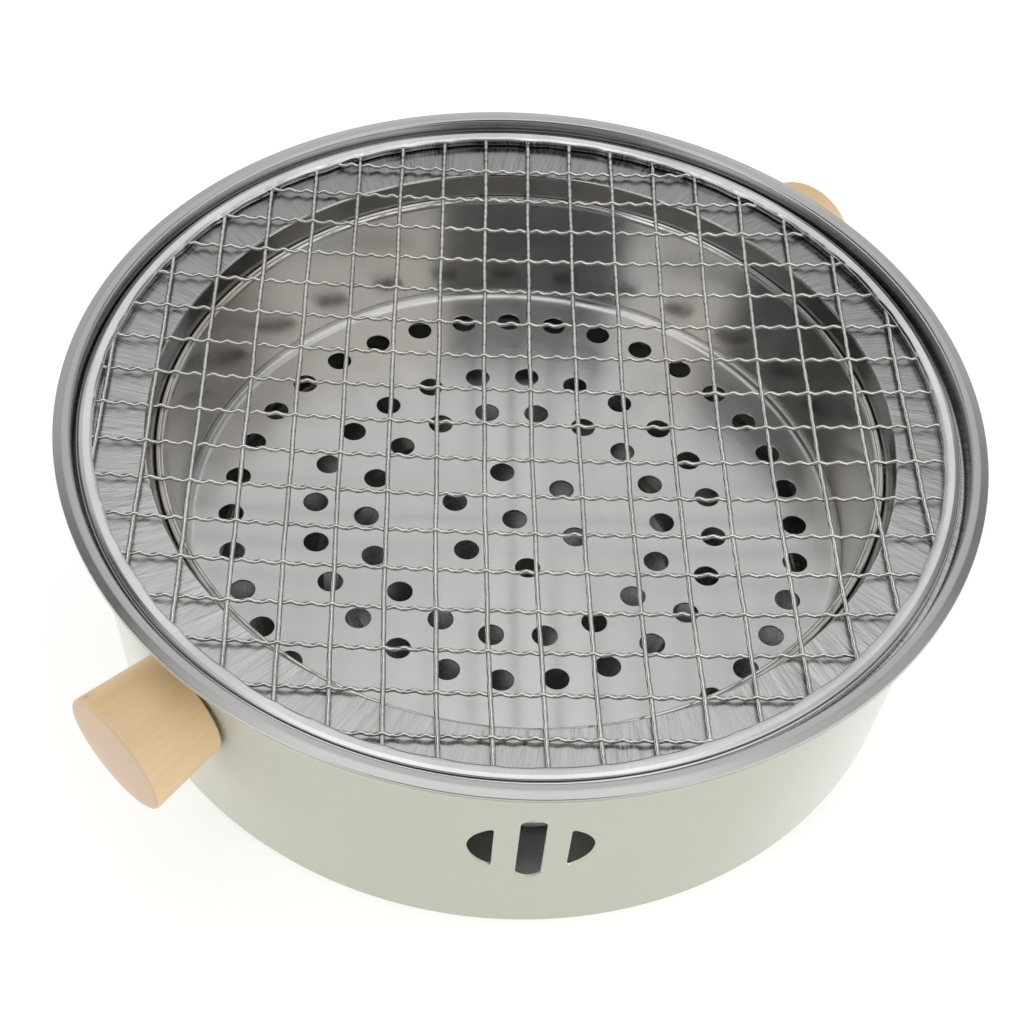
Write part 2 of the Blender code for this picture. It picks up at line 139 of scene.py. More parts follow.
class Soup:
    """Vertices and faces in millimetres, welded at the end."""

    def __init__(self):
        self.v, self.f = [], []
        self.n = 0

    def add(self, verts, faces):
        verts = np.asarray(verts, float).reshape(-1, 3)
        self.v.append(verts)
        base = self.n
        self.f += [tuple(int(i) + base for i in f) for f in faces]
        self.n += len(verts)

    def turn(self, path, closed=False, seg=N, wobble=None):
        """Turn (radius, height) points about Z; points on the axis become poles."""
        path = np.asarray(path, float)
        th = np.arange(seg) * TAU / seg
        c, s = np.cos(th), np.sin(th)
        rows, verts, n0 = [], [], 0
        for r, z in path:
            if r < 1e-9:
                verts.append([[0.0, 0.0, z]])
                rows.append([n0])
                n0 += 1
            else:
                verts.append(np.stack([r * c, r * s, np.full(seg, z)], 1))
                rows.append(list(range(n0, n0 + seg)))
                n0 += seg
        V = np.vstack([np.asarray(x, float).reshape(-1, 3) for x in verts])
        if wobble is not None:
            V = wobble(V)
        F = []
        pairs = list(zip(rows, rows[1:])) + ([(rows[-1], rows[0])] if closed else [])
        for a, b in pairs:
            for k in range(seg):
                j = (k + 1) % seg
                if len(a) == 1 and len(b) == 1:
                    continue
                if len(a) == 1:
                    F.append((a[0], b[k], b[j]))
                elif len(b) == 1:
                    F.append((a[k], b[0], a[j]))
                else:
                    F.append((a[k], b[k], b[j], a[j]))
        self.add(V, F)

    def holed(self, border_loops, holes, fill, inside, place, thick, edge, steps=4):
        """A sheet with holes.  2D loops and fill points are triangulated once,
        laid on both faces by place(u, v, depth), and each hole gets rolled edges."""
        def grow(loop, e):
            loop = np.asarray(loop, float)
            a, b = np.roll(loop, 1, 0), np.roll(loop, -1, 0)
            d = b - a
            d /= np.linalg.norm(d, axis=1)[:, None]
            return loop + np.stack([d[:, 1], -d[:, 0]], 1) * e

        pts, edges = [], []
        for loop in border_loops:
            n0 = len(pts)
            pts += [tuple(p) for p in loop]
            edges += [(n0 + i, n0 + (i + 1) % len(loop)) for i in range(len(loop))]
        starts = []
        big = [grow(h, edge) for h in holes]
        for loop in big:
            n0 = len(pts)
            starts.append((n0, len(loop)))
            pts += [tuple(p) for p in loop]
            edges += [(n0 + i, n0 + (i + 1) % len(loop)) for i in range(len(loop))]
        pts += [tuple(p) for p in fill]
        vs, _, fs, vo, _, _ = delaunay_2d_cdt([Vector(p) for p in pts], edges, [], 0, 1e-7, True)
        where = {}
        for i, src in enumerate(vo):
            for s in src:
                where[s] = i
        uv = np.array([(v.x, v.y) for v in vs])
        tri = np.array([f for f in fs if len(f) == 3])
        cen = uv[tri].mean(1)
        keep = inside(cen)
        for loop in big:
            lo, hi = loop.min(0), loop.max(0)
            near = np.where(keep & (cen > lo).all(1) & (cen < hi).all(1))[0]
            if len(near):
                x, y = cen[near, 0], cen[near, 1]
                odd = np.zeros(len(near), bool)
                for (x0, y0), (x1, y1) in zip(loop, np.roll(loop, -1, 0)):
                    cross = (y0 > y) != (y1 > y)
                    with np.errstate(divide='ignore', invalid='ignore'):
                        xi = x0 + (y - y0) / (y1 - y0 if y1 != y0 else 1e-12) * (x1 - x0)
                    odd ^= cross & (x < xi)
                keep[near[odd]] = False
        tri = tri[keep]
        n2 = len(uv)
        V = [place(uv[:, 0], uv[:, 1], np.zeros(n2)), place(uv[:, 0], uv[:, 1], np.full(n2, thick))]
        F = [tuple(t) for t in tri] + [tuple(t[::-1] + n2) for t in tri]
        n0 = 2 * n2
        prof = [(edge * (1 - math.sin(a)), edge * (1 - math.cos(a))) for a in
                [math.pi / 2 * k / steps for k in range(1, steps + 1)]]
        prof += [(e, thick - d) for e, d in reversed(prof)]
        for hole, (s0, m) in zip(holes, starts):
            rings = [[where[s0 + i] for i in range(m)]]
            for e, d in prof:
                g = grow(hole, e)
                V.append(place(g[:, 0], g[:, 1], np.full(m, d)))
                rings.append(list(range(n0, n0 + m)))
                n0 += m
            rings.append([where[s0 + i] + n2 for i in range(m)])
            for a, b in zip(rings, rings[1:]):
                F += [(a[i], a[(i + 1) % m], b[(i + 1) % m], b[i]) for i in range(m)]
        self.add(np.vstack(V), F)

    def object(self, name, weld=0.002, sharp=38.0, weighted=True):
        mesh = bpy.data.meshes.new(name)
        mesh.from_pydata((np.vstack(self.v) * 0.001).tolist(), [], self.f)
        bm = bmesh.new()
        bm.from_mesh(mesh)
        bmesh.ops.remove_doubles(bm, verts=bm.verts, dist=weld * 0.001)
        loose = [v for v in bm.verts if not v.link_faces]
        bmesh.ops.delete(bm, geom=loose, context='VERTS')
        bmesh.ops.recalc_face_normals(bm, faces=bm.faces)
        bm.to_mesh(mesh)
        bm.free()
        mesh.shade_smooth()
        mesh.set_sharp_from_angle(angle=math.radians(sharp))
        ob = bpy.data.objects.new(name, mesh)
        bpy.context.scene.collection.objects.link(ob)
        if weighted:
            mod = ob.modifiers.new("Normals", 'WEIGHTED_NORMAL')
            mod.mode = 'FACE_AREA'
            mod.weight = 70
            mod.keep_sharp = True
        return ob


def sheet_outline(path, t):
    """Closed outline of a sheet: path, then back along the other face."""
    return np.vstack([path, side_step(path, t)[::-1]])


def finish_piece(ob, body, slot, mat, *cad):
    ob.data.materials.clear()
    ob.data.materials.append(mat)
    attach(ob, body)
    if cad:
        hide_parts(*cad)
    return ob


# ----------------------------------------------------------------- materials
class Graph:
    """Short way to write a node tree."""

    def __init__(self, tree):
        self.tree = tree

    def node(self, kind, sockets=None, **props):
        n = self.tree.nodes.new(kind)
        for k, v in props.items():
            setattr(n, k, v)
        for k, v in (sockets or {}).items():
            if isinstance(v, bpy.types.NodeSocket):
                self.tree.links.new(v, n.inputs[k])
            else:
                n.inputs[k].default_value = v
        return n

    def math(self, op, a, b=0.0, c=0.0, clamp=False):
        return self.node("ShaderNodeMath", {0: a, 1: b, 2: c}, operation=op, use_clamp=clamp).outputs[0]

    def noise(self, vec, scale=1.0, detail=3.0, rough=0.5, distort=0.0):
        return self.node("ShaderNodeTexNoise", {"Vector": vec, "Scale": scale, "Detail": detail,
                                                "Roughness": rough, "Distortion": distort}).outputs["Fac"]

    def ramp(self, fac, stops, interp='LINEAR'):
        n = self.node("ShaderNodeValToRGB", {"Fac": fac})
        n.color_ramp.interpolation = interp
        e = n.color_ramp.elements
        while len(e) > 1:
            e.remove(e[-1])
        for i, (pos, col) in enumerate(stops):
            if i:
                el = e.new(pos)
            else:
                el = e[0]
                el.position = pos
            el.color = (col[0], col[1], col[2], 1.0) if hasattr(col, "__len__") else (col, col, col, 1.0)
        return n.outputs["Color"]

    def remap(self, v, a, b, c, d):
        return self.node("ShaderNodeMapRange", {0: v, 1: a, 2: b, 3: c, 4: d}).outputs[0]

    def smooth(self, v, a, b, c=0.0, d=1.0):
        return self.node("ShaderNodeMapRange", {0: v, 1: a, 2: b, 3: c, 4: d},
                         interpolation_type='SMOOTHSTEP').outputs[0]

    def mix(self, fac, a, b, mode='MIX'):
        n = self.node("ShaderNodeMix", {"Factor": fac}, data_type='RGBA', blend_type=mode)
        for sock, v in ((n.inputs[6], a), (n.inputs[7], b)):
            if isinstance(v, bpy.types.NodeSocket):
                self.tree.links.new(v, sock)
            else:
                sock.default_value = (*v, 1.0) if len(v) == 3 else v
        return n.outputs[2]

    def vec(self, x, y, z):
        return self.node("ShaderNodeCombineXYZ", {0: x, 1: y, 2: z}).outputs[0]

    def scaled(self, v, s):
        return self.node("ShaderNodeMapping", {"Vector": v, "Scale": s}).outputs[0]

    def place(self):
        """Object coordinates in metres: vector, x, y, z, radius, cos and sin of the azimuth."""
        co = self.node("ShaderNodeTexCoord").outputs["Object"]
        xyz = self.node("ShaderNodeSeparateXYZ", {0: co}).outputs
        x, y, z = xyz[0], xyz[1], xyz[2]
        r = self.math('SQRT', self.math('ADD', self.math('MULTIPLY', x, x), self.math('MULTIPLY', y, y)))
        rs = self.math('MAXIMUM', r, 1e-4)
        return co, x, y, z, r, self.math('DIVIDE', x, rs), self.math('DIVIDE', y, rs)


def new_material(name):
    m = bpy.data.materials.new(name)
    m.use_nodes = True
    m.node_tree.nodes.clear()
    g = Graph(m.node_tree)
    out = g.node("ShaderNodeOutputMaterial")
    bsdf = g.node("ShaderNodeBsdfPrincipled")
    m.node_tree.links.new(bsdf.outputs[0], out.inputs[0])
    return m, g, bsdf


def link(g, value, bsdf, socket):
    if isinstance(value, bpy.types.NodeSocket):
        g.tree.links.new(value, bsdf.inputs[socket])
    else:
        bsdf.inputs[socket].default_value = value


def ring_zone(a, b, soft=0.0004):
    """Mask of the radii between a and b (metres)."""
    return lambda g, r, z: g.math('MULTIPLY', g.smooth(r, a - soft, a + soft), g.smooth(r, b + soft, b - soft))


def level_zone(a, b, soft=0.0008):
    """Mask of the heights between a and b (metres)."""
    return lambda g, r, z: g.math('MULTIPLY', g.smooth(z, a - soft, a + soft), g.smooth(z, b + soft, b - soft))


def steel(name, tone, rough, spun=0.0, radial=0.0, aniso=0.0, aniso_turn=0.25, upright=0.0, cloud=0.03,
          spun_fine=2600.0, radial_n=200.0, bump=0.00002, warm=0.0, low_wave=0.0, zones=None,
          rough_zones=(), tone_zones=(), aniso_zones=(), scuff=0.0, edge=0.0):
    """Bare steel.  spun: rings round the axis; radial: brush marks outwards; upright: lines up a wall.
    zones limits each treatment to part of the piece."""
    m, g, b = new_material(name)
    co, x, y, z, r, c, s = g.place()
    height = None
    zones = zones or {}

    def within(kind, v):
        return g.math('MULTIPLY', v, zones[kind](g, r, z)) if kind in zones else v

    def pile(kind, v, k):
        nonlocal height
        v = within(kind, g.math('MULTIPLY', g.math('SUBTRACT', v, 0.5), k))
        height = v if height is None else g.math('ADD', height, v)

    shade = g.remap(g.noise(co, 30.0, 4.0, 0.55), 0.3, 0.7, -cloud, cloud)
    rough_v = g.remap(g.noise(co, 60.0, 3.0, 0.6), 0.3, 0.7, rough * 0.92, rough * 1.10)
    for mask, value in rough_zones:
        k = mask(g, r, z)
        rough_v = g.math('ADD', rough_v, g.math('MULTIPLY', k, value - rough))
    if spun:
        run = g.math('ADD', r, g.math('MULTIPLY', z, 0.7))
        v1 = g.noise(g.vec(g.math('MULTIPLY', c, 3.0), g.math('MULTIPLY', s, 3.0), g.math('MULTIPLY', run, spun_fine)), 1.0, 2.0, 0.6)
        v2 = g.noise(g.vec(g.math('MULTIPLY', c, 1.2), g.math('MULTIPLY', s, 1.2), g.math('MULTIPLY', run, spun_fine * 0.22)), 1.0, 3.0, 0.6)
        pile('spun', v1, 0.5 * spun)
        pile('spun', v2, 0.8 * spun)
        shade = g.math('ADD', shade, within('spun', g.remap(v1, 0.25, 0.75, -0.05 * spun, 0.05 * spun)))
        shade = g.math('ADD', shade, within('spun', g.remap(v2, 0.25, 0.75, -0.05 * spun, 0.05 * spun)))
        rough_v = g.math('ADD', rough_v, within('spun', g.remap(v2, 0.3, 0.7, -0.04 * spun, 0.04 * spun)))
    if radial:
        # hand-brushed outwards: long strokes, in two sets that lean slightly either way
        where = g.smooth(g.noise(g.vec(g.math('MULTIPLY', c, 5.0), g.math('MULTIPLY', s, 5.0), g.math('MULTIPLY', r, 60.0)), 1.0, 2.0, 0.5),
                         0.35, 0.65, 0.35, 1.0)
        for turn, n1, along, k in ((1.6, radial_n, 34.0, 1.0), (-1.2, radial_n * 2.1, 70.0, 0.55), (0.3, radial_n * 0.45, 22.0, 0.5)):
            ln = g.math('ADD', g.math('MULTIPLY', g.math('SUBTRACT', r, 0.14), turn),
                        g.math('MULTIPLY', g.noise(g.vec(g.math('MULTIPLY', c, 4.0), g.math('MULTIPLY', s, 4.0), 3.0), 1.0, 1.0, 0.5), 0.02))
            cx = g.math('SUBTRACT', g.math('MULTIPLY', c, g.math('COSINE', ln)), g.math('MULTIPLY', s, g.math('SINE', ln)))
            sx = g.math('ADD', g.math('MULTIPLY', s, g.math('COSINE', ln)), g.math('MULTIPLY', c, g.math('SINE', ln)))
            v = g.noise(g.vec(g.math('MULTIPLY', cx, n1), g.math('MULTIPLY', sx, n1), g.math('MULTIPLY', r, along)), 1.0, 3.0, 0.62)
            v = g.math('ADD', 0.5, g.math('MULTIPLY', g.math('SUBTRACT', v, 0.5), where))
            pile('radial', v, radial * k)
            shade = g.math('ADD', shade, within('radial', g.remap(v, 0.3, 0.7, -0.12 * radial * k, 0.12 * radial * k)))
            rough_v = g.math('ADD', rough_v, within('radial', g.remap(v, 0.3, 0.7, -0.04 * radial * k, 0.04 * radial * k)))
    if upright:
        v = g.noise(g.vec(g.math('MULTIPLY', c, 190.0), g.math('MULTIPLY', s, 190.0), g.math('MULTIPLY', z, 25.0)), 1.0, 4.0, 0.7)
        v3 = g.noise(g.vec(g.math('MULTIPLY', c, 26.0), g.math('MULTIPLY', s, 26.0), g.math('MULTIPLY', z, 6.0)), 1.0, 2.0, 0.5)
        pile('upright', v, 0.5 * upright)
        shade = g.math('ADD', shade, within('upright', g.remap(v, 0.3, 0.7, -0.07 * upright, 0.07 * upright)))
        shade = g.math('ADD', shade, within('upright', g.remap(v3, 0.3, 0.7, -0.06 * upright, 0.06 * upright)))
        rough_v = g.math('ADD', rough_v, within('upright', g.remap(v3, 0.3, 0.7, -0.05 * upright, 0.05 * upright)))
    if scuff:
        # short stray scratches
        cell = g.noise(g.node("ShaderNodeMapping", {"Vector": co, "Scale": (900.0, 60.0, 300.0), "Rotation": (0.0, 0.0, 0.6)}).outputs[0], 1.0, 1.0, 0.4)
        line = g.smooth(cell, 0.70, 0.78)
        shade = g.math('ADD', shade, g.math('MULTIPLY', line, scuff))
        rough_v = g.math('ADD', rough_v, g.math('MULTIPLY', line, 0.06))
    bright = g.math('ADD', 1.0, shade)
    for mask, value in tone_zones:
        bright = g.math('MULTIPLY', bright, g.math('ADD', 1.0, g.math('MULTIPLY', mask(g, r, z), value - 1.0)))
    if edge:
        # painted shade: the wire is darkened towards its outline, where the surface turns away from view
        facing = g.node("ShaderNodeLayerWeight", {"Blend": 0.5}).outputs["Facing"]
        bright = g.math('MULTIPLY', bright, g.smooth(facing, 0.25, 0.85, 1.0, 1.0 - edge))
    base = g.mix(1.0, tone, g.vec(bright, bright, bright), 'MULTIPLY')
    if warm:
        w = within('warm', g.smooth(g.noise(co, 14.0, 2.0, 0.5), 0.45, 0.68))
        base = g.mix(g.math('MULTIPLY', w, warm), base, (tone[0] * 1.0, tone[1] * 0.90, tone[2] * 0.76))
    link(g, base, b, "Base Color")
    link(g, g.math('MAXIMUM', rough_v, 0.04), b, "Roughness")
    link(g, 1.0, b, "Metallic")
    if aniso or aniso_zones:
        an = g.math('ADD', aniso, 0.0)
        for mask, value in aniso_zones:
            an = g.math('ADD', an, g.math('MULTIPLY', mask(g, r, z), value - aniso))
        link(g, an, b, "Anisotropic")
        link(g, g.math('MULTIPLY', g.math('SUBTRACT', 1.0, within('radial', 1.0)), aniso_turn) if 'radial' in zones else aniso_turn,
             b, "Anisotropic Rotation")
        tan = g.node("ShaderNodeTangent", direction_type='RADIAL', axis='Z').outputs[0]
        link(g, tan, b, "Tangent")
    normal = None
    if low_wave:
        w = within('wave', g.noise(co, 16.0, 1.0, 0.4))
        normal = g.node("ShaderNodeBump", {"Strength": 1.0, "Distance": low_wave, "Height": w}).outputs[0]
    if height is not None:
        sockets = {"Strength": 1.0, "Distance": bump, "Height": height}
        if normal is not None:
            sockets["Normal"] = normal
        normal = g.node("ShaderNodeBump", sockets).outputs[0]
    if normal is not None:
        link(g, normal, b, "Normal")
    return m


def paint(name, colour):
    m, g, b = new_material(name)
    co, x, y, z, r, c, s = g.place()
    big = g.noise(co, 9.0, 2.0, 0.5)
    base = g.mix(g.remap(big, 0.35, 0.65, 0.0, 1.0), tuple(v * 0.985 for v in colour),
                 tuple(min(1.0, v * 1.012) for v in colour))
    # painted sheen: the paint is lightened towards pale grey where the surface turns away from view
    facing = g.node("ShaderNodeLayerWeight", {"Blend": 0.5}).outputs["Facing"]
    base = g.mix(g.smooth(facing, 0.62, 0.98, 0.0, 0.80), base, (0.88, 0.88, 0.86))
    speck = g.smooth(g.noise(co, 2300.0, 1.0, 0.5), 0.70, 0.80)
    base = g.mix(g.math('MULTIPLY', speck, 0.10), base, tuple(v * 0.78 for v in colour))
    link(g, base, b, "Base Color")
    peel = g.noise(co, 620.0, 2.0, 0.5)
    grit = g.noise(co, 2600.0, 2.0, 0.6)
    h = g.math('ADD', peel, g.math('MULTIPLY', grit, 0.35))
    link(g, g.node("ShaderNodeBump", {"Strength": 0.5, "Distance": 0.00006, "Height": h}).outputs[0], b, "Normal")
    link(g, g.remap(g.noise(co, 150.0, 3.0, 0.6), 0.3, 0.7, 0.40, 0.50), b, "Roughness")
    link(g, 0.45, b, "Specular IOR Level")
    link(g, 0.20, b, "Coat Weight")
    link(g, 0.30, b, "Coat Roughness")
    return m


def wood(name, seed, knot=None):
    """Pale close-grained hardwood; the piece's own Z runs along the grain."""
    m, g, b = new_material(name)
    co = g.node("ShaderNodeTexCoord").outputs["Object"]
    off = g.node("ShaderNodeMapping", {"Vector": co, "Location": (seed * 0.31, seed * 0.17, seed * 0.05)}).outputs[0]
    # growth bands, long fibres, short flecks
    xyz = g.node("ShaderNodeSeparateXYZ", {0: off}).outputs
    px = g.math('ADD', xyz[0], 0.034)
    py = g.math('ADD', xyz[1], 0.012)
    wob = g.math('MULTIPLY', g.noise(g.scaled(off, (1, 1, 0.25)), 55.0, 2.0, 0.5), 0.012)
    ring = g.math('ADD', g.math('SQRT', g.math('ADD', g.math('MULTIPLY', px, px), g.math('MULTIPLY', py, py))), wob)
    band = g.noise(g.vec(g.math('MULTIPLY', ring, 420.0), 0.0, g.math('MULTIPLY', xyz[2], 6.0)), 1.0, 2.0, 0.5)
    fibre = g.noise(g.scaled(off, (1, 1, 0.035)), 2400.0, 3.0, 0.7)
    fibre2 = g.noise(g.scaled(off, (1, 1, 0.02)), 700.0, 3.0, 0.6)
    fleck = g.smooth(g.noise(g.scaled(off, (1, 1, 0.22)), 1500.0, 1.0, 0.4), 0.66, 0.76)
    patch = g.noise(g.scaled(off, (1, 1, 0.6)), 45.0, 2.0, 0.5)
    col = g.ramp(g.math('ADD', g.math('MULTIPLY', band, 0.55), g.math('MULTIPLY', fibre2, 0.45)),
                 [(0.28, (0.870, 0.605, 0.335)), (0.46, (0.905, 0.650, 0.375)), (0.60, (0.930, 0.690, 0.415)), (0.75, (0.945, 0.725, 0.465))])
    col = g.mix(g.remap(fibre, 0.35, 0.7, 0.0, 0.13), col, (0.72, 0.49, 0.25))
    col = g.mix(g.math('MULTIPLY', fleck, 0.14), col, (0.60, 0.39, 0.20))
    col = g.mix(g.remap(patch, 0.35, 0.65, 0.0, 0.20), col, (0.88, 0.66, 0.42))
    # broad honey-coloured patches
    honey = g.noise(g.scaled(off, (1, 1, 0.45)), 38.0, 2.0, 0.5)
    col = g.mix(g.smooth(honey, 0.46, 0.64, 0.0, 0.42), col, (0.760, 0.500, 0.235))
    # end grain shows pinker and a little darker
    nrm = g.node("ShaderNodeNewGeometry").outputs["Normal"]
    local = g.node("ShaderNodeVectorTransform", {0: nrm}, vector_type='NORMAL',
                   convert_from='WORLD', convert_to='OBJECT').outputs[0]
    nz = g.node("ShaderNodeSeparateXYZ", {0: local}).outputs[2]
    endf = g.smooth(g.math('ABSOLUTE', nz), 0.55, 0.93)
    endcol = g.mix(g.remap(g.noise(off, 1500.0, 2.0, 0.6), 0.3, 0.7, 0.0, 1.0), (0.603, 0.430, 0.298), (0.657, 0.482, 0.340))
    endcol = g.mix(g.remap(band, 0.35, 0.65, 0.0, 0.25), endcol, (0.68, 0.50, 0.35))
    col = g.mix(g.math('MULTIPLY', endf, 0.85), col, endcol)
    if knot is not None:
        d = g.node("ShaderNodeVectorMath", {0: co, 1: knot}, operation='DISTANCE').outputs["Value"]
        dn = g.math('ADD', d, g.math('MULTIPLY', g.noise(co, 900.0, 2.0, 0.6), 0.0006))
        col = g.mix(g.smooth(dn, 0.0013, 0.0004, 0.0, 0.85), col, (0.30, 0.13, 0.04))
        col = g.mix(g.smooth(dn, 0.0045, 0.0010, 0.0, 0.35), col, (0.60, 0.34, 0.14))
    link(g, col, b, "Base Color")
    h = g.math('ADD', g.math('MULTIPLY', fibre, 0.6), g.math('MULTIPLY', fibre2, 0.4))
    link(g, g.node("ShaderNodeBump", {"Strength": 0.35, "Distance": 0.00008, "Height": h}).outputs[0], b, "Normal")
    link(g, g.remap(fibre2, 0.3, 0.7, 0.38, 0.48), b, "Roughness")
    link(g, 0.5, b, "Specular IOR Level")
    link(g, 0.05, b, "Subsurface Weight")
    link(g, (0.9, 0.5, 0.25), b, "Subsurface Radius")
    link(g, 0.001, b, "Subsurface Scale")
    return m


def rubber(name):
    m, g, b = new_material(name)
    co = g.node("ShaderNodeTexCoord").outputs["Object"]
    v = g.noise(co, 900.0, 3.0, 0.6)
    dust = g.smooth(g.noise(co, 120.0, 3.0, 0.6), 0.52, 0.74)
    link(g, g.mix(g.math('MULTIPLY', dust, 0.35), (0.018, 0.018, 0.019), (0.06, 0.058, 0.055)), b, "Base Color")
    link(g, g.remap(v, 0.3, 0.7, 0.62, 0.82), b, "Roughness")
    link(g, g.node("ShaderNodeBump", {"Strength": 0.5, "Distance": 0.00008, "Height": v}).outputs[0], b, "Normal")
    return m


def zinc(name, tone=(0.60, 0.615, 0.63), rough=0.34, spangle=0.0):
    m, g, b = new_material(name)
    co = g.node("ShaderNodeTexCoord").outputs["Object"]
    v = g.noise(co, 700.0, 3.0, 0.6)
    cloud = g.noise(co, 70.0, 3.0, 0.6)
    col = g.mix(g.remap(cloud, 0.35, 0.65, 0.0, 1.0), tuple(t * 0.88 for t in tone), tone)
    if spangle:
        cell = g.node("ShaderNodeTexVoronoi", {"Vector": co, "Scale": 120.0}).outputs["Color"]
        grey = g.node("ShaderNodeRGBToBW", {0: cell}).outputs[0]
        col = g.mix(g.math('MULTIPLY', grey, spangle), col, tuple(min(1, t * 1.3) for t in tone))
    link(g, col, b, "Base Color")
    link(g, 1.0, b, "Metallic")
    link(g, g.remap(v, 0.3, 0.7, rough * 0.8, rough * 1.2), b, "Roughness")
    link(g, g.node("ShaderNodeBump", {"Strength": 0.4, "Distance": 0.00003, "Height": v}).outputs[0], b, "Normal")
    return m


CREAM = paint("cream_enamel", (0.557, 0.565, 0.474))
SHELF = ring_zone(0.1300, 0.1527)
RIM_ZONE = ring_zone(0.1532, 0.2)
STEP = ring_zone(0.0, 0.1296)
SEAT = ring_zone(0.1515, 0.1539, 0.0002)


def SHELF_SHADED_SIDE(g, r, z):
    """Mask of one side of the shelf, which the collar's tone zones darken as painted shade standing in for a dark
    reflection.
    """
    x, y, _ = g.node("ShaderNodeSeparateXYZ", {0: g.node("ShaderNodeTexCoord").outputs["Object"]}).outputs
    a = math.radians(31.0)
    far = g.math('DIVIDE', g.math('ADD', g.math('MULTIPLY', x, math.cos(a)), g.math('MULTIPLY', y, math.sin(a))), 0.141)
    return g.math('MULTIPLY', SHELF(g, r, z), g.smooth(far, -0.75, 0.95))


RIM_INNER = ring_zone(0.1537, 0.1574, 0.0006)


# tone_zones paint light and shade into the collar. The step is darkened to 0.56 and one side of the shelf to 0.60 as
# painted shade for dark reflections. The rim and its inner edge are toned 0.96 and 0.89 as painted reflection levels.
# The seat wall is lightened to 1.05 as painted light.
COLLAR = steel("collar_satin_steel", (0.560, 0.551, 0.542), 0.24, spun=0.25, radial=3.2, aniso=0.45,
               upright=0.35, cloud=0.02, bump=0.000012,
               zones={"spun": RIM_ZONE, "radial": SHELF, "upright": STEP},
               rough_zones=((SHELF, 0.31), (STEP, 0.14)), aniso_zones=((SHELF, 0.72),),
               tone_zones=((STEP, 0.56), (SHELF, 1.0), (SHELF_SHADED_SIDE, 0.60), (RIM_ZONE, 0.96), (RIM_INNER, 0.89), (SEAT, 1.05)))
WALL_ZONE = level_zone(FLOOR_LEVEL + 0.0030, 1.0)
BASE_ZONE = level_zone(-1.0, FLOOR_LEVEL + 0.0030)
FOOT_OF_WALL = level_zone(FLOOR_LEVEL + 0.0030, FLOOR_LEVEL + 0.013, 0.003)
BOWL = steel("bowl_spun_steel", (0.655, 0.648, 0.638), 0.22, spun=0.30, upright=0.30, cloud=0.012,
             spun_fine=1800.0, bump=0.000008, warm=0.45, low_wave=0.0005,
             zones={"upright": WALL_ZONE, "warm": WALL_ZONE, "wave": WALL_ZONE},
             rough_zones=((WALL_ZONE, 0.165), (FOOT_OF_WALL, 0.23)), aniso=0.84, tone_zones=((WALL_ZONE, 0.97),))
# tone_zones darken the band's inner lip to 0.85 and its outer side to 0.60: painted shade for the dark lines between
# the band, the shelf and the rim
BAND = steel("band_bright_steel", (0.665, 0.672, 0.676), 0.15, spun=0.55, radial=0.30, cloud=0.13, bump=0.000012,
             tone_zones=((ring_zone(0.0, 0.1472, 0.0005), 0.85), (ring_zone(0.1515, 0.2, 0.0002), 0.60)))
# edge darkens the wires' outlines as painted shade
WIRE = steel("bright_wire", (0.70, 0.69, 0.665), 0.13, cloud=0.14, bump=0.00001, edge=0.86)
TRAY = steel("tray_steel", (0.40, 0.397, 0.392), 0.26, spun=0.5, radial=0.3, aniso=0.4, cloud=0.05)
ZINC = zinc("zinc_plate")
GALV = zinc("galvanised_plate", (0.55, 0.56, 0.575), 0.38, spangle=0.25)
RUBBER = rubber("black_rubber")

# ------------------------------------------------------------- painted drum
T = 1.0
neck = RIM_Z - 10.9
WALL_LO, WALL_HI = FOOT_H + 2.0, neck - 2.0
low = rounded([(112.0, FOOT_H), (DRUM_R0 + 0.08, FOOT_H, 0.7), (drum_r(WALL_LO + 1.0), WALL_LO + 1.0)])
low = np.vstack([low[:-1], [[drum_r(WALL_LO), WALL_LO]]])
seat_r = 156.2
high = rounded([(drum_r(WALL_HI), WALL_HI), (drum_r(neck + 0.3), neck + 0.3, 1.2), (seat_r, neck + 1.9, 1.3),
                (seat_r + 0.05, RIM_Z - 2.35, 0.7), (159.45, RIM_Z - 2.27, 0.0), (159.8, RIM_Z - 2.1, 0.0)])
cosb = math.cos(math.atan(SLOPE))
lowin = side_step(low, -T)
lowin[-1] = (drum_r(WALL_LO) - T / cosb, WALL_LO)
highin = side_step(high[:-1], -T)
highin[0] = (drum_r(WALL_HI) - T / cosb, WALL_HI)
edge_arc = [(159.42 + 0.47 * math.sin(a), RIM_Z - 1.75 - 0.5 * math.cos(a)) for a in np.linspace(0, math.pi, 13)]
outer_top = np.vstack([high[:-2], edge_arc])
inner_top = highin[:-1]
shell = Soup()
shell.turn(np.vstack([low[::-1], lowin]))                       # bottom corner, outside and inside
shell.turn(np.vstack([outer_top, inner_top[::-1]]))             # neck, seat and flange

VENT_Z = FOOT_H + 51.2


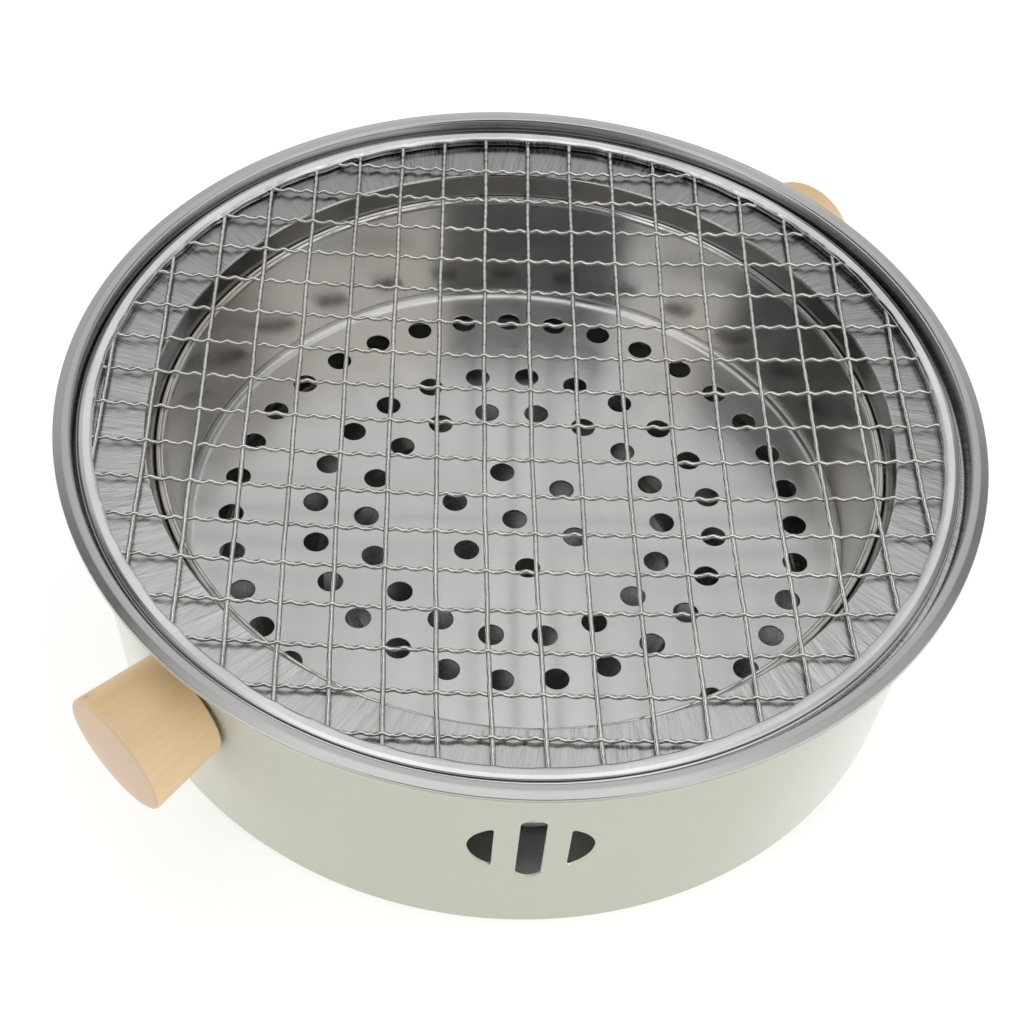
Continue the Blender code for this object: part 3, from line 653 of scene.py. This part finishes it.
def vent_outlines():
    slot_w, slot_h, rise = 8.4, 38.0, 2.8
    arc = ((slot_w / 2) ** 2 + rise ** 2) / (2 * rise)
    half = math.asin((slot_w / 2) / arc)
    slot = []
    for sign in (1, -1):
        cy = sign * (slot_h / 2 - arc)
        for a in np.linspace(half, -half, 17):
            slot.append((sign * arc * math.sin(a), cy + sign * arc * math.cos(a)))
    # D opening: a bow between two small corner rounds and a straight side
    near, far, h, f = 12.2, 20.4, 24.6, 0.8
    r = ((h / 2) ** 2 + (far - near) ** 2) / (2 * (far - near))
    c = far - r
    fy = math.sqrt((r - f) ** 2 - (near + f - c) ** 2)
    a1 = math.atan2(fy, near + f - c)
    right = [(c + r * math.cos(a), r * math.sin(a)) for a in np.linspace(-a1, a1, 29)]
    right += [(near + f + f * math.cos(a), fy + f * math.sin(a)) for a in np.linspace(a1, math.pi, 9)[1:]]
    right += [(near + f + f * math.cos(a), -fy + f * math.sin(a)) for a in np.linspace(math.pi, TAU - a1, 9)[:-1]]
    left = [(-x, y) for x, y in reversed(right)]
    out = []
    for loop in (slot, right, left):
        loop = np.asarray(loop)
        keep = np.linalg.norm(loop - np.roll(loop, 1, 0), axis=1) > 0.02
        loop = loop[keep]
        # even spacing, and counter-clockwise
        seg = np.linalg.norm(np.roll(loop, -1, 0) - loop, axis=1)
        dense = []
        for p, q, L in zip(loop, np.roll(loop, -1, 0), seg):
            n = max(1, int(L / 1.6))
            dense += [p + (q - p) * k / n for k in range(n)]
        loop = np.array(dense)
        x, y = loop[:, 0], loop[:, 1]
        area = 0.5 * np.sum(x * np.roll(y, -1) - y * np.roll(x, -1))
        out.append(loop if area > 0 else loop[::-1])
    return out


RU = 150.0                                 # unrolled radius
vent_loops = []
rv = drum_r(VENT_Z)
for deg in (44.4, 134.4, 224.4, 314.4):
    for loop in vent_outlines():
        th = math.radians(deg) + np.arcsin(loop[:, 0] / rv)
        vent_loops.append(np.stack([th * RU, VENT_Z + loop[:, 1] * cosb], 1))

TILT = math.radians(5.4)
TOE = math.radians(2.8)
AXIS_Z = RIM_Z - 33.5
for ang in (TOE, math.pi - TOE):
    cz = AXIS_Z + (RIM_R - drum_r(AXIS_Z)) * math.tan(TILT)
    a = np.linspace(0, TAU, 32, endpoint=False)
    vent_loops.append(np.stack([(ang + 2.9 * np.cos(a) / rv) * RU, cz + 2.9 * np.sin(a)], 1))

du = TAU * RU / N
us = np.arange(N + 1) * du
border = [(u, WALL_LO) for u in us]
rows = np.linspace(WALL_LO, WALL_HI, 22)
border += [(us[-1], v) for v in rows[1:-1]]
border += [(u, WALL_HI) for u in us[::-1]]
border += [(0.0, v) for v in rows[::-1][1:-1]]
fill = np.array([(u, v) for v in rows[1:-1] for u in us[1:-1]])
near = np.zeros(len(fill), bool)
for loop in vent_loops:
    lo, hi = loop.min(0) - 2, loop.max(0) + 2
    idx = np.where((fill > lo).all(1) & (fill < hi).all(1))[0]
    for i in idx:
        if np.min(np.hypot(*(loop - fill[i]).T)) < 1.3:
            near[i] = True
fill = fill[~near]


def on_wall(u, v, depth):
    th = u / RU
    r = drum_r(v) - depth / cosb
    return np.stack([r * np.cos(th), r * np.sin(th), v], 1)


shell.holed([border], vent_loops, fill,
            lambda c: (c[:, 0] > 0) & (c[:, 0] < us[-1]) & (c[:, 1] > WALL_LO) & (c[:, 1] < WALL_HI),
            on_wall, T, 0.22, 3)
ob = shell.object("drum_shell")
finish_piece(ob, "drum", "cream_paint", CREAM, "outer_shell")
report_sizes = {"shell": len(ob.data.vertices)}

# -------------------------------------------------------------------- collar
top = rounded([
    (RIM_R - 0.02, RIM_Z - 0.88),
    (RIM_R - 0.02, RIM_Z - 0.16, 0.5),
    (157.05, RIM_Z + 0.58, 2.4),
    (154.15, RIM_Z + 0.48, 1.25),
    (153.45, RIM_Z - 7.45, 1.1),
    (129.65, RIM_Z - 6.65, 1.0),
    (127.16, RIM_Z - 14.7, 0.6),
    (127.12, RIM_Z - 17.0, 0.3),
    (125.6, RIM_Z - 17.6, 0.4),
    (125.0, RIM_Z - 17.6)], n=7)
soup = Soup()
soup.turn(sheet_outline(top, -0.8), closed=True)
ob = soup.object("steel_collar")
finish_piece(ob, "collar", "collar_steel", COLLAR, "collar_ring")


# -------------------------------------------------------------------- basin
FLOOR_Z = RIM_Z - 59.6
TOP_Z = RIM_Z - 15.6
FLAT_R = 112.4
inside_path = rounded([(FLAT_R, FLOOR_Z), (119.2, FLOOR_Z, 6.2), (123.5, TOP_Z - 0.4, 1.2), (123.75, TOP_Z + 0.75, 0.35),
                       (124.35, TOP_Z + 1.3, 0.4), (124.95, TOP_Z + 1.22, 0.25), (125.3, TOP_Z + 0.78, 0.25), (125.62, TOP_Z + 0.80, 0.2),
                       (125.95, TOP_Z + 1.22, 0.25), (126.55, TOP_Z + 1.05, 0.45), (127.0, TOP_Z + 0.1, 0.5),
                       (126.4, TOP_Z - 1.15, 0.5), (125.1, TOP_Z - 1.3, 0.4), (124.5, TOP_Z - 0.9)], n=7)
outside_path = rounded([(124.4, TOP_Z - 1.9), (120.05, FLOOR_Z - 0.8, 7.0), (FLAT_R, FLOOR_Z - 0.8)], n=9)
basin = Soup()


def basin_wave(V):
    """Very slight unevenness of the drawn wall."""
    th = np.arctan2(V[:, 1], V[:, 0])
    z = (V[:, 2] - FLOOR_Z) / 44.0
    w = np.clip(z * 3.0, 0, 1) * np.clip((0.97 - z) * 5.0, 0, 1)
    d = 0.07 * np.sin(3 * th + 1.1) * np.sin(2.4 * z + 0.4) + 0.045 * np.sin(7 * th - 0.6 + 2.0 * z) \
        + 0.018 * np.sin(17 * th + 2.2 + 3.0 * z) + 0.008 * np.sin(41 * th + 1.7 - 2.0 * z)
    r = np.hypot(V[:, 0], V[:, 1])
    k = 1.0 + w * d / np.maximum(r, 1.0)
    V = V.copy()
    V[:, 0] *= k
    V[:, 1] *= k
    return V


basin.turn(np.vstack([inside_path, outside_path]), wobble=basin_wave)
hole_xy = [(0.0, 0.0)]
for count, pitch, first in ((36, 103.1, 4.1), (24, 73.0, 9.1), (18, 54.1, 14.0), (6, 23.2, -5.7)):
    for k in range(count):
        a = math.radians(first + 360.0 * k / count)
        hole_xy.append((pitch * math.cos(a), pitch * math.sin(a)))
hole_xy = np.array(hole_xy)
ca = np.linspace(0, TAU, 40, endpoint=False)
hole_loops = [np.stack([x + 4.5 * np.cos(ca), y + 4.5 * np.sin(ca)], 1) for x, y in hole_xy]
th = np.arange(N) * TAU / N
rimloop = np.stack([FLAT_R * np.cos(th), FLAT_R * np.sin(th)], 1)
gx, gy = np.meshgrid(np.arange(-116, 117, 3.4), np.arange(-116, 117, 2.95))
gx = gx + (np.arange(gx.shape[0]) % 2)[:, None] * 1.7
grid = np.stack([gx.ravel(), gy.ravel()], 1)
grid = grid[np.hypot(*grid.T) < FLAT_R - 2.0]
dist = np.min(np.hypot(grid[:, None, 0] - hole_xy[None, :, 0], grid[:, None, 1] - hole_xy[None, :, 1]), axis=1)
grid = grid[dist > 6.0]


def on_floor(u, v, depth):
    r = np.hypot(u, v)
    w = np.clip((FLAT_R - r) / 12.0, 0, 1)
    dz = 0.05 * np.sin(u / 17.0 + 0.5) * np.cos(v / 21.0 - 0.8) + 0.04 * np.sin(r / 13.0)
    return np.stack([u, v, FLOOR_Z + w * dz - depth], 1)


basin.holed([rimloop], hole_loops, grid, lambda c: np.hypot(c[:, 0], c[:, 1]) < FLAT_R, on_floor, 0.8, 0.16, 3)
ob = basin.object("basin")
finish_piece(ob, "basin", "bowl_steel", BOWL, "charcoal_basin")

# ---------------------------------------------------------------- wire grill
WIRE_Z = (band_box[0][2] + band_box[1][2]) / 2
WIRE_R = {"row": 0.68, "column": 0.80}
CRIMP = {"row": 0.47, "column": 0.22}
END_R = 150.1
LIE = 1.05 * np.array([math.cos(math.radians(82.0)), math.sin(math.radians(82.0))])   # the grill lies against one side of its seat


def weave(i, j):
    """Where column i crosses row j, in millimetres: a near-square mesh that fans out slightly."""
    a, b = (i - 4.0) / 8.0, (j - 8.0) / 8.0
    x = -1.0 + 90.0 * a - 95.2 * b + 3.7 * a * a + 1.1 * a * b + 2.0 * b * b \
        + 0.9 * a ** 3 - 0.5 * a * a * b + 0.9 * a * b * b - 0.1 * b ** 3
    y = -4.4 - 93.9 * a - 90.7 * b + 2.4 * a * a - 2.0 * a * b - 0.4 * b * b \
        - 1.1 * a ** 3 - 0.7 * a * a * b - 1.1 * a * b * b - 0.7 * b ** 3
    return x, y


def tube(soup, path, radius, sides=12):
    d = np.gradient(path, axis=0)
    d /= np.linalg.norm(d, axis=1)[:, None]
    side = np.cross(d, [0.0, 0.0, 1.0])
    side /= np.linalg.norm(side, axis=1)[:, None]
    up = np.cross(side, d)
    a = np.arange(sides) * TAU / sides
    V = path[:, None, :] + radius * (np.cos(a)[None, :, None] * side[:, None, :] + np.sin(a)[None, :, None] * up[:, None, :])
    n = len(path)
    F = []
    for k in range(n - 1):
        for s in range(sides):
            t = (s + 1) % sides
            F.append((k * sides + s, k * sides + t, (k + 1) * sides + t, (k + 1) * sides + s))
    F.append(tuple(range(sides))[::-1])
    F.append(tuple((n - 1) * sides + s for s in range(sides)))
    soup.add(V.reshape(-1, 3), F)


entries = []                                # azimuth where each wire goes into the band
mats = []
for kind in ("row", "column"):
    soup = Soup()
    for k in (range(0, 17) if kind == "row" else range(-5, 13)):
        t = np.linspace(-8.5, 17.5 if kind == "row" else 22.5, 2600)
        x, y = weave(t, float(k)) if kind == "row" else weave(float(k), t)
        x, y = np.broadcast_to(x, t.shape), np.broadcast_to(y, t.shape)
        ok = np.where(np.hypot(x - LIE[0], y - LIE[1]) < END_R)[0]
        if len(ok) < 30:
            continue
        # longest unbroken run
        runs = np.split(ok, np.where(np.diff(ok) > 1)[0] + 1)
        run = max(runs, key=len)
        t0, t1 = t[run[0]], t[run[-1]]
        n = int((t1 - t0) * 2.5 * 11)
        t = np.linspace(t0, t1, n)
        x, y = weave(t, float(k)) if kind == "row" else weave(float(k), t)
        x, y = np.broadcast_to(x, t.shape) + 0.0, np.broadcast_to(y, t.shape) + 0.0
        wave = np.cos(5 * math.pi * t)
        sign = -((-1.0) ** k) if kind == "row" else (-1.0) ** k
        fade = np.clip((END_R - np.hypot(x - LIE[0], y - LIE[1])) / 4.0, 0.35, 1.0)
        z = WIRE_Z + CRIMP[kind] * sign * wave * fade
        # hand-woven unevenness
        lean = 0.10 * np.sin(t * 1.7 + k * 2.1) + 0.05 * np.sin(t * 4.3 + k)
        dx, dy = np.gradient(x), np.gradient(y)
        L = np.hypot(dx, dy)
        x = x - dy / L * lean
        y = y + dx / L * lean
        P = np.stack([x, y, z], 1)
        tube(soup, P, WIRE_R[kind])
        for e in (0, -1):
            entries.append((math.atan2(y[e] - LIE[1], x[e] - LIE[0]), z[e] - WIRE_Z))
    ob = soup.object("grill_" + kind + "_wires", weld=0.0001, sharp=60.0, weighted=False)
    mats.append(ob)
finish_piece(mats[0], "grill", "wire_steel", WIRE, "grill_wires")
finish_piece(mats[1], "grill", "wire_steel", WIRE)

# rolled edge band, pinched where wires go in
b0, b1 = band_box[0][2], band_box[1][2]
BO, BI = 152.3, 146.6
outer = rounded([(BI + 0.12, WIRE_Z + 0.15, 0.0), (BI + 0.0, b1 - 0.52, 0.5), (BI + 0.95, b1 + 0.08, 1.1), (BI + 3.2, b1 + 0.34, 1.6),
                 (151.45, b1 - 0.06, 0.75), (151.62, b1 - 1.15, 0.2), (BO - 0.1, b1 - 1.2, 0.35), (BO, b1 - 2.0, 0.5),
                 (BO, b0 + 0.6, 0.4), (BO - 0.7, b0, 0.5), (BI + 0.9, b0, 0.6), (BI + 0.05, b0 + 0.5, 0.4), (BI + 0.12, WIRE_Z - 0.15, 0.0)], n=8)
outline = sheet_outline(outer, 0.45)
entry_az = np.array([e[0] for e in entries])


def pinch(V):
    """The strip is rolled over by hand: it bulges inwards a little where wires go in."""
    th = np.arctan2(V[:, 1], V[:, 0])
    r = np.hypot(V[:, 0], V[:, 1])
    lipw = np.clip((149.2 - r) / 2.8, 0, 1)
    lipw = lipw * lipw * (3 - 2 * lipw)
    topside = V[:, 2] > WIRE_Z
    out = V.copy()
    lump = np.zeros(len(V))
    small = np.zeros(len(V))
    for k, a in enumerate(entry_az):
        s = ((th - a + math.pi) % TAU - math.pi) * 147.0
        size = 0.35 + 0.65 * ((k * 7) % 5) / 4.0
        lump += np.exp(-(s / (3.4 + 0.8 * ((k * 3) % 4))) ** 2) * size
        small += np.exp(-(s / 1.3) ** 2) * (0.4 + 0.6 * ((k * 5) % 3) / 2.0)
    wav = 0.10 * np.sin(th * 23 + 0.7) + 0.07 * np.sin(th * 57 + 1.9) + 0.03 * np.sin(th * 131)
    dz = lipw * (np.minimum(small, 1.2) * 0.16 + 0.3 * wav)
    out[:, 2] += np.where(topside, dz, -0.3 * dz)
    k = 1 + lipw * (-0.38 * np.minimum(lump, 1.2) + wav) / r
    out[:, 0] = out[:, 0] * k + LIE[0]
    out[:, 1] = out[:, 1] * k + LIE[1]
    return out


soup = Soup()
soup.turn(outline, closed=True, seg=1440, wobble=pinch)
ob = soup.object("grill_rolled_band")
finish_piece(ob, "grill", "band_steel", BAND, "grill_band")

# ------------------------------------------------------------------- handles
END, ROOT, LEN, CROWN = 21.8, 18.8, 27.8, 2.0
dome = [(0.0, LEN + CROWN)] + [(r, LEN + CROWN - 1.55 * (r / END) ** 2) for r in np.linspace(1.5, END - 1.4, 18)]
knob_path = [tuple(p) for p in dome]
knob_path += [(END - 0.15, LEN + 0.02, 1.5), (ROOT + 0.04, 0.55, 0.35), (ROOT - 0.45, 0.0), (2.9, 0.0), (2.9, 17.0), (0.0, 17.0)]
knob_path = rounded(knob_path, n=8)
START = 151.1
for label, side in (("right", 1), ("left", -1)):
    soup = Soup()
    soup.turn(knob_path, seg=192)
    knot = (-0.0165, -0.0135, 0.0258) if side < 0 else None
    ob = soup.object("knob_" + label, sharp=30.0)
    ang = TOE if side > 0 else math.pi - TOE
    at = Vector((START * math.cos(ang), START * math.sin(ang), AXIS_Z + (RIM_R - START) * math.tan(TILT))) * 0.001
    turn = Matrix.Rotation(ang, 4, 'Z') @ Matrix.Rotation(math.radians(90) + TILT, 4, 'Y')
    ob.matrix_world = Matrix.Translation(at) @ turn
    finish_piece(ob, "drum", "wood", wood("beech_" + label, 1.0 if side > 0 else 2.0, knot), "handle_" + label)

# ------------------------------------------------------ tray, base plate, feet
z0, z1 = tray_box[0][2], tray_box[1][2]
tray_top = rounded([(0.0, z0 + 0.8), (60.0, z0 + 0.8, 6.0), (64.0, z0 + 1.4, 6.0), (70.0, z0 + 1.4, 6.0), (74.0, z0 + 0.8, 6.0),
                    (110.6, z0 + 0.8, 3.0), (114.4, z1 - 0.0, 1.3), (117.0, z1 + 0.0)], n=5)
soup = Soup()
under = side_step(tray_top, 0.8)
under[0] = (0.0, z0)
bead_c = (117.25, z1 - 0.42)
curl = [(bead_c[0] + 0.42 * math.sin(a), bead_c[1] + 0.42 * math.cos(a)) for a in np.linspace(0.2, math.pi - 0.2, 7)]
soup.turn(np.vstack([tray_top, curl, under[::-1]]), seg=256)
ob = soup.object("tray")
finish_piece(ob, "tray", "tray_steel", TRAY, "ash_tray")

p0, p1 = plate_box[0][2], plate_box[1][2]
plate = rounded([(0.0, p0 + 0.8), (139.2, p0 + 0.8, 1.1), (140.05, p1)], n=6)
lower = side_step(plate, 0.8)
lower[0] = (0.0, p0)
soup = Soup()
foot_xy = [(126.0 * math.cos(math.radians(a)), 126.0 * math.sin(math.radians(a))) for a in (0, 90, 180, 270)]
PR = 134.0
ring_th = np.arange(256) * TAU / 256
plate_loop = np.stack([PR * np.cos(ring_th), PR * np.sin(ring_th)], 1)
plate_holes = [np.stack([x + 2.3 * np.cos(ca), y + 2.3 * np.sin(ca)], 1) for x, y in foot_xy]
gx, gy = np.meshgrid(np.arange(-134, 135, 6.0), np.arange(-134, 135, 5.2))
gx = gx + (np.arange(gx.shape[0]) % 2)[:, None] * 3.0
pg = np.stack([gx.ravel(), gy.ravel()], 1)
pg = pg[np.hypot(*pg.T) < PR - 2.5]
fd = np.min(np.hypot(pg[:, None, 0] - np.array(foot_xy)[None, :, 0], pg[:, None, 1] - np.array(foot_xy)[None, :, 1]), axis=1)
pg = pg[fd > 4.0]
soup.holed([plate_loop], plate_holes, pg, lambda c: np.hypot(c[:, 0], c[:, 1]) < PR,
           lambda u, v, d: np.stack([u, v, p0 + 0.8 - d], 1), 0.8, 0.1, 2)
rim_up = rounded([(PR, p0 + 0.8), (139.2, p0 + 0.8, 1.1), (140.05, p1)], n=6)
rim_dn = side_step(rim_up, 0.8)
rim_dn[0] = (PR, p0)
soup.turn(np.vstack([rim_up, rim_dn[::-1]]), seg=256)
ob = soup.object("drum_base_plate")
finish_piece(ob, "drum", "zinc", GALV, "base_plate")

foot_top = foot_box[1][2]
foot_path = rounded([(0.0, 1.6), (2.3, 1.6), (2.3, foot_top, 0.25), (10.5, foot_top, 0.5), (9.35, 2.0, 0.8), (9.0, 0.0, 0.8),
                     (5.2, 0.0, 0.25), (4.7, 0.5, 0.25), (3.4, 0.5, 0.25), (2.9, 0.0, 0.25), (0.0, 0.0)], n=5)
for i, (x, y) in enumerate(foot_xy):
    soup = Soup()
    soup.turn(foot_path, seg=64)
    ob = soup.object("rubber_foot_%d" % (i + 1), sharp=35.0)
    ob.location = (x * 0.001, y * 0.001, 0.0)
    finish_piece(ob, "drum", "rubber", RUBBER, "foot_%d" % (i + 1))

# -------------------------------------------------- screws and washers, hidden
def cross_recess(ob, z_top, depth, span):
    """Cross recess in a screw head, cut with a plus-shaped cutter made of two boxes."""
    bm = bmesh.new()
    for turn in (0.0, math.pi / 2):
        mat = Matrix.Rotation(turn, 4, 'Z') @ Matrix.Translation((0, 0, z_top * 0.001)) @ \
            Matrix.Diagonal((span * 0.001, 0.00075, 2 * depth * 0.001, 1.0))
        bmesh.ops.create_cube(bm, size=1.0, matrix=mat)
    mesh = bpy.data.meshes.new("recess")
    bm.to_mesh(mesh)
    bm.free()
    cut = bpy.data.objects.new("recess", mesh)
    bpy.context.scene.collection.objects.link(cut)
    mod = ob.modifiers.new("Recess", 'BOOLEAN')
    mod.object = cut
    mod.operation = 'DIFFERENCE'
    mod.solver = 'EXACT'
    mod.use_self = True
    bpy.context.view_layer.update()
    made = bpy.data.meshes.new_from_object(ob.evaluated_get(bpy.context.evaluated_depsgraph_get()))
    ob.modifiers.remove(mod)
    ob.data = made
    bpy.data.objects.remove(cut, do_unlink=True)
    ob.data.set_sharp_from_angle(angle=math.radians(38))


head_z = p0 + 0.8 + 0.3
for i, (x, y) in enumerate(foot_xy):
    soup = Soup()
    soup.turn(rounded([(0.0, head_z + 2.2), (2.2, head_z + 2.15, 1.5), (3.75, head_z + 0.9, 0.8), (3.75, head_z, 0.15), (1.9, head_z),
                       (1.9, 2.8), (1.3, 1.9), (0.0, 1.9)], n=6), seg=48)
    ob = soup.object("foot_fixing_screw_%d" % (i + 1), weighted=False)
    cross_recess(ob, head_z + 2.2, 1.2, 3.6)
    ob.location = (x * 0.001, y * 0.001, 0.0)
    finish_piece(ob, "drum", "zinc", ZINC, "foot_screw_%d" % (i + 1))

inner_wall = drum_r(AXIS_Z) - T / cosb
washer_at = inner_wall - 1.5
for label, side in (("right", 1), ("left", -1)):
    ang = TOE if side > 0 else math.pi - TOE
    at = Vector((washer_at * math.cos(ang), washer_at * math.sin(ang), AXIS_Z + (RIM_R - washer_at) * math.tan(TILT))) * 0.001
    M = Matrix.Translation(at) @ Matrix.Rotation(ang, 4, 'Z') @ Matrix.Rotation(math.radians(90) + TILT, 4, 'Y')
    soup = Soup()
    soup.turn(rounded([(7.5, 0.0, 0.2), (7.5, -1.0, 0.25), (2.9, -1.0, 0.15), (2.9, 0.0, 0.15)], closed=True, n=4), closed=True, seg=64)
    ob = soup.object("knob_washer_" + label)
    ob.matrix_world = M
    finish_piece(ob, "drum", "zinc", ZINC, "handle_washer_" + label)
    under_h = -1.3
    reach = (START - washer_at) / math.cos(TILT) + 16.0
    soup = Soup()
    soup.turn(rounded([(0.0, reach), (1.4, reach), (2.4, reach - 2.0), (2.4, under_h), (4.6, under_h, 0.2), (4.45, under_h - 1.4, 1.0),
                       (2.8, under_h - 2.75, 1.4), (0.0, under_h - 2.8)], n=6), seg=48)
    ob = soup.object("knob_screw_" + label, weighted=False)
    cross_recess(ob, under_h - 2.8, 1.5, 4.2)
    ob.matrix_world = M
    finish_piece(ob, "drum", "zinc", ZINC, "handle_screw_" + label)

# -------------------------------------------------------------------- studio
bpy.context.scene.view_settings.view_transform = 'Standard'
bpy.context.scene.view_settings.look = 'None'

AZ0 = math.radians(-51.16)                 # the camera's side of the object
floor_mesh = bpy.data.meshes.new("studio_floor")
floor_mesh.from_pydata([(-6, -6, 0), (6, -6, 0), (6, 6, 0), (-6, 6, 0)], [], [(0, 1, 2, 3)])
floor = bpy.data.objects.new("studio_floor", floor_mesh)
bpy.context.scene.collection.objects.link(floor)
floor.location = (0, 0, -0.0001)
m, g, b = new_material("pale_floor")
co = g.node("ShaderNodeTexCoord").outputs["Object"]
link(g, g.mix(g.remap(g.noise(co, 3.0, 2.0), 0.3, 0.7, 0.0, 1.0), (0.56, 0.56, 0.557), (0.58, 0.58, 0.577)), b, "Base Color")
link(g, 0.7, b, "Roughness")
link(g, 0.1, b, "Specular IOR Level")
link(g, (1.0, 1.0, 1.0, 1.0), b, "Emission Color")
link(g, 0.64, b, "Emission Strength")
floor_mesh.materials.append(m)
floor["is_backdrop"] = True

world = bpy.data.worlds.new("studio")
bpy.context.scene.world = world
world.use_nodes = True
world.node_tree.nodes.clear()
g = Graph(world.node_tree)
out = g.node("ShaderNodeOutputWorld")
bg = g.node("ShaderNodeBackground")
world.node_tree.links.new(bg.outputs[0], out.inputs[0])
dirv = g.node("ShaderNodeTexCoord").outputs["Generated"]
turned = g.node("ShaderNodeVectorRotate", {"Vector": dirv, "Angle": -AZ0}, rotation_type='Z_AXIS').outputs[0]
xyz = g.node("ShaderNodeSeparateXYZ", {0: turned}).outputs
az = g.math('ARCTAN2', xyz[1], xyz[0])       # 90 degrees points away from the camera
el = g.math('ARCSINE', xyz[2])


def patch(a0, a1, e0, e1, soft):
    """1 inside an azimuth and elevation window (degrees), fading over soft degrees."""
    s = math.radians(soft)
    mid, half = math.radians((a0 + a1) / 2), math.radians((a1 - a0) / 2)
    d = g.math('SUBTRACT', az, mid)
    d = g.math('ABSOLUTE', g.math('SUBTRACT', g.math('FLOORED_MODULO', g.math('ADD', d, math.pi), TAU), math.pi))
    fa = g.smooth(d, half + s / 2, half - s / 2)
    f0 = g.smooth(el, math.radians(e0) - s / 2, math.radians(e0) + s / 2)
    f1 = g.smooth(el, math.radians(e1) + s / 2, math.radians(e1) - s / 2)
    return g.math('MULTIPLY', fa, g.math('MULTIPLY', f0, f1))


level = g.math('ADD', g.smooth(el, math.radians(58), math.radians(78), 0.66, 1.06), 0.0)
for a0, a1, e0, e1, soft, k in (
        (-118, -58, 20, 62, 5, -1.0),        # camera and stand
        (139, 203, 21, 57, 6, -0.97),        # gap between the left soft boxes
        (14, 56, 26, 46, 9, -0.62),
        (207, 241, 26, 64, 7, 0.90),         # boxes either side of the camera
        (304, 364, 26, 64, 8, 0.75),
        (72, 108, 10, 55, 8, 0.42),          # window behind
        (150, 240, -20, 22, 14, 1.40),        # low boxes either side
        (-62, 28, -20, 22, 14, 1.00)):
    level = g.math('MULTIPLY', level, g.math('ADD', 1.0, g.math('MULTIPLY', patch(a0, a1, e0, e1, soft), k)))
link_col = g.mix(1.0, (1.0, 0.998, 0.993), g.vec(level, level, level), 'MULTIPLY')
world.node_tree.links.new(link_col, bg.inputs[0])
bg.inputs[1].default_value = 1.0


def soft_box(name, az_deg, el_deg, dist, size, power, colour=(1, 1, 1)):
    a, e = math.radians(az_deg) + AZ0, math.radians(el_deg)
    light = bpy.data.lights.new(name, 'AREA')
    light.shape = 'RECTANGLE'
    light.size, light.size_y = size
    light.energy = power
    light.color = colour
    ob = bpy.data.objects.new(name, light)
    bpy.context.scene.collection.objects.link(ob)
    d = Vector((math.cos(a) * math.cos(e), math.sin(a) * math.cos(e), math.sin(e)))
    ob.location = d * dist + Vector((0, 0, 0.05))
    ob.rotation_euler = d.to_track_quat('Z', 'Y').to_euler()
    return ob


soft_box("top_box", 90, 76, 1.5, (1.0, 0.8), 0.9)
# stray light inside the drum, by the vents
for deg in (134.4, 224.4, 314.4):
    light = bpy.data.lights.new("inner_glow_%d" % deg, 'POINT')
    light.energy = 0.022
    light.shadow_soft_size = 0.004
    ob = bpy.data.objects.new("inner_glow_%d" % deg, light)
    bpy.context.scene.collection.objects.link(ob)
    a = math.radians(deg + 6.0)
    ob.location = (0.134 * math.cos(a), 0.134 * math.sin(a), 0.066)
    ob.visible_camera = False

# -------------------------------------------------------------------- camera
SCALE = RIM_R * 0.001
Rz = Matrix.Rotation(AZ0, 3, 'Z')
centre = Rz @ (Vector((0.0, -3.144532, 3.285714)) * SCALE) + Vector((0, 0, RIM_Z * 0.001))
forward = Rz @ Vector((-0.0015669, 0.6542882, -0.7562437))
right = Rz @ Vector((0.9959095, 0.0693427, 0.0579305))
up = right.cross(forward)
cam = bpy.data.cameras.new("camera")
cam.sensor_width = 36.0
cam.lens = 36.0 * 2110.876 / 1024.0
cam.clip_start, cam.clip_end = 0.01, 20.0
cam_ob = bpy.data.objects.new("camera", cam)
bpy.context.scene.collection.objects.link(cam_ob)
rot = Matrix((right, up, -forward)).transposed()
cam_ob.matrix_world = Matrix.Translation(centre) @ rot.to_4x4()
bpy.context.scene.camera = cam_ob

lo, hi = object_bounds()
{"cad": [list(cad_lo), list(cad_hi)], "visual": [list(lo), list(hi)]}
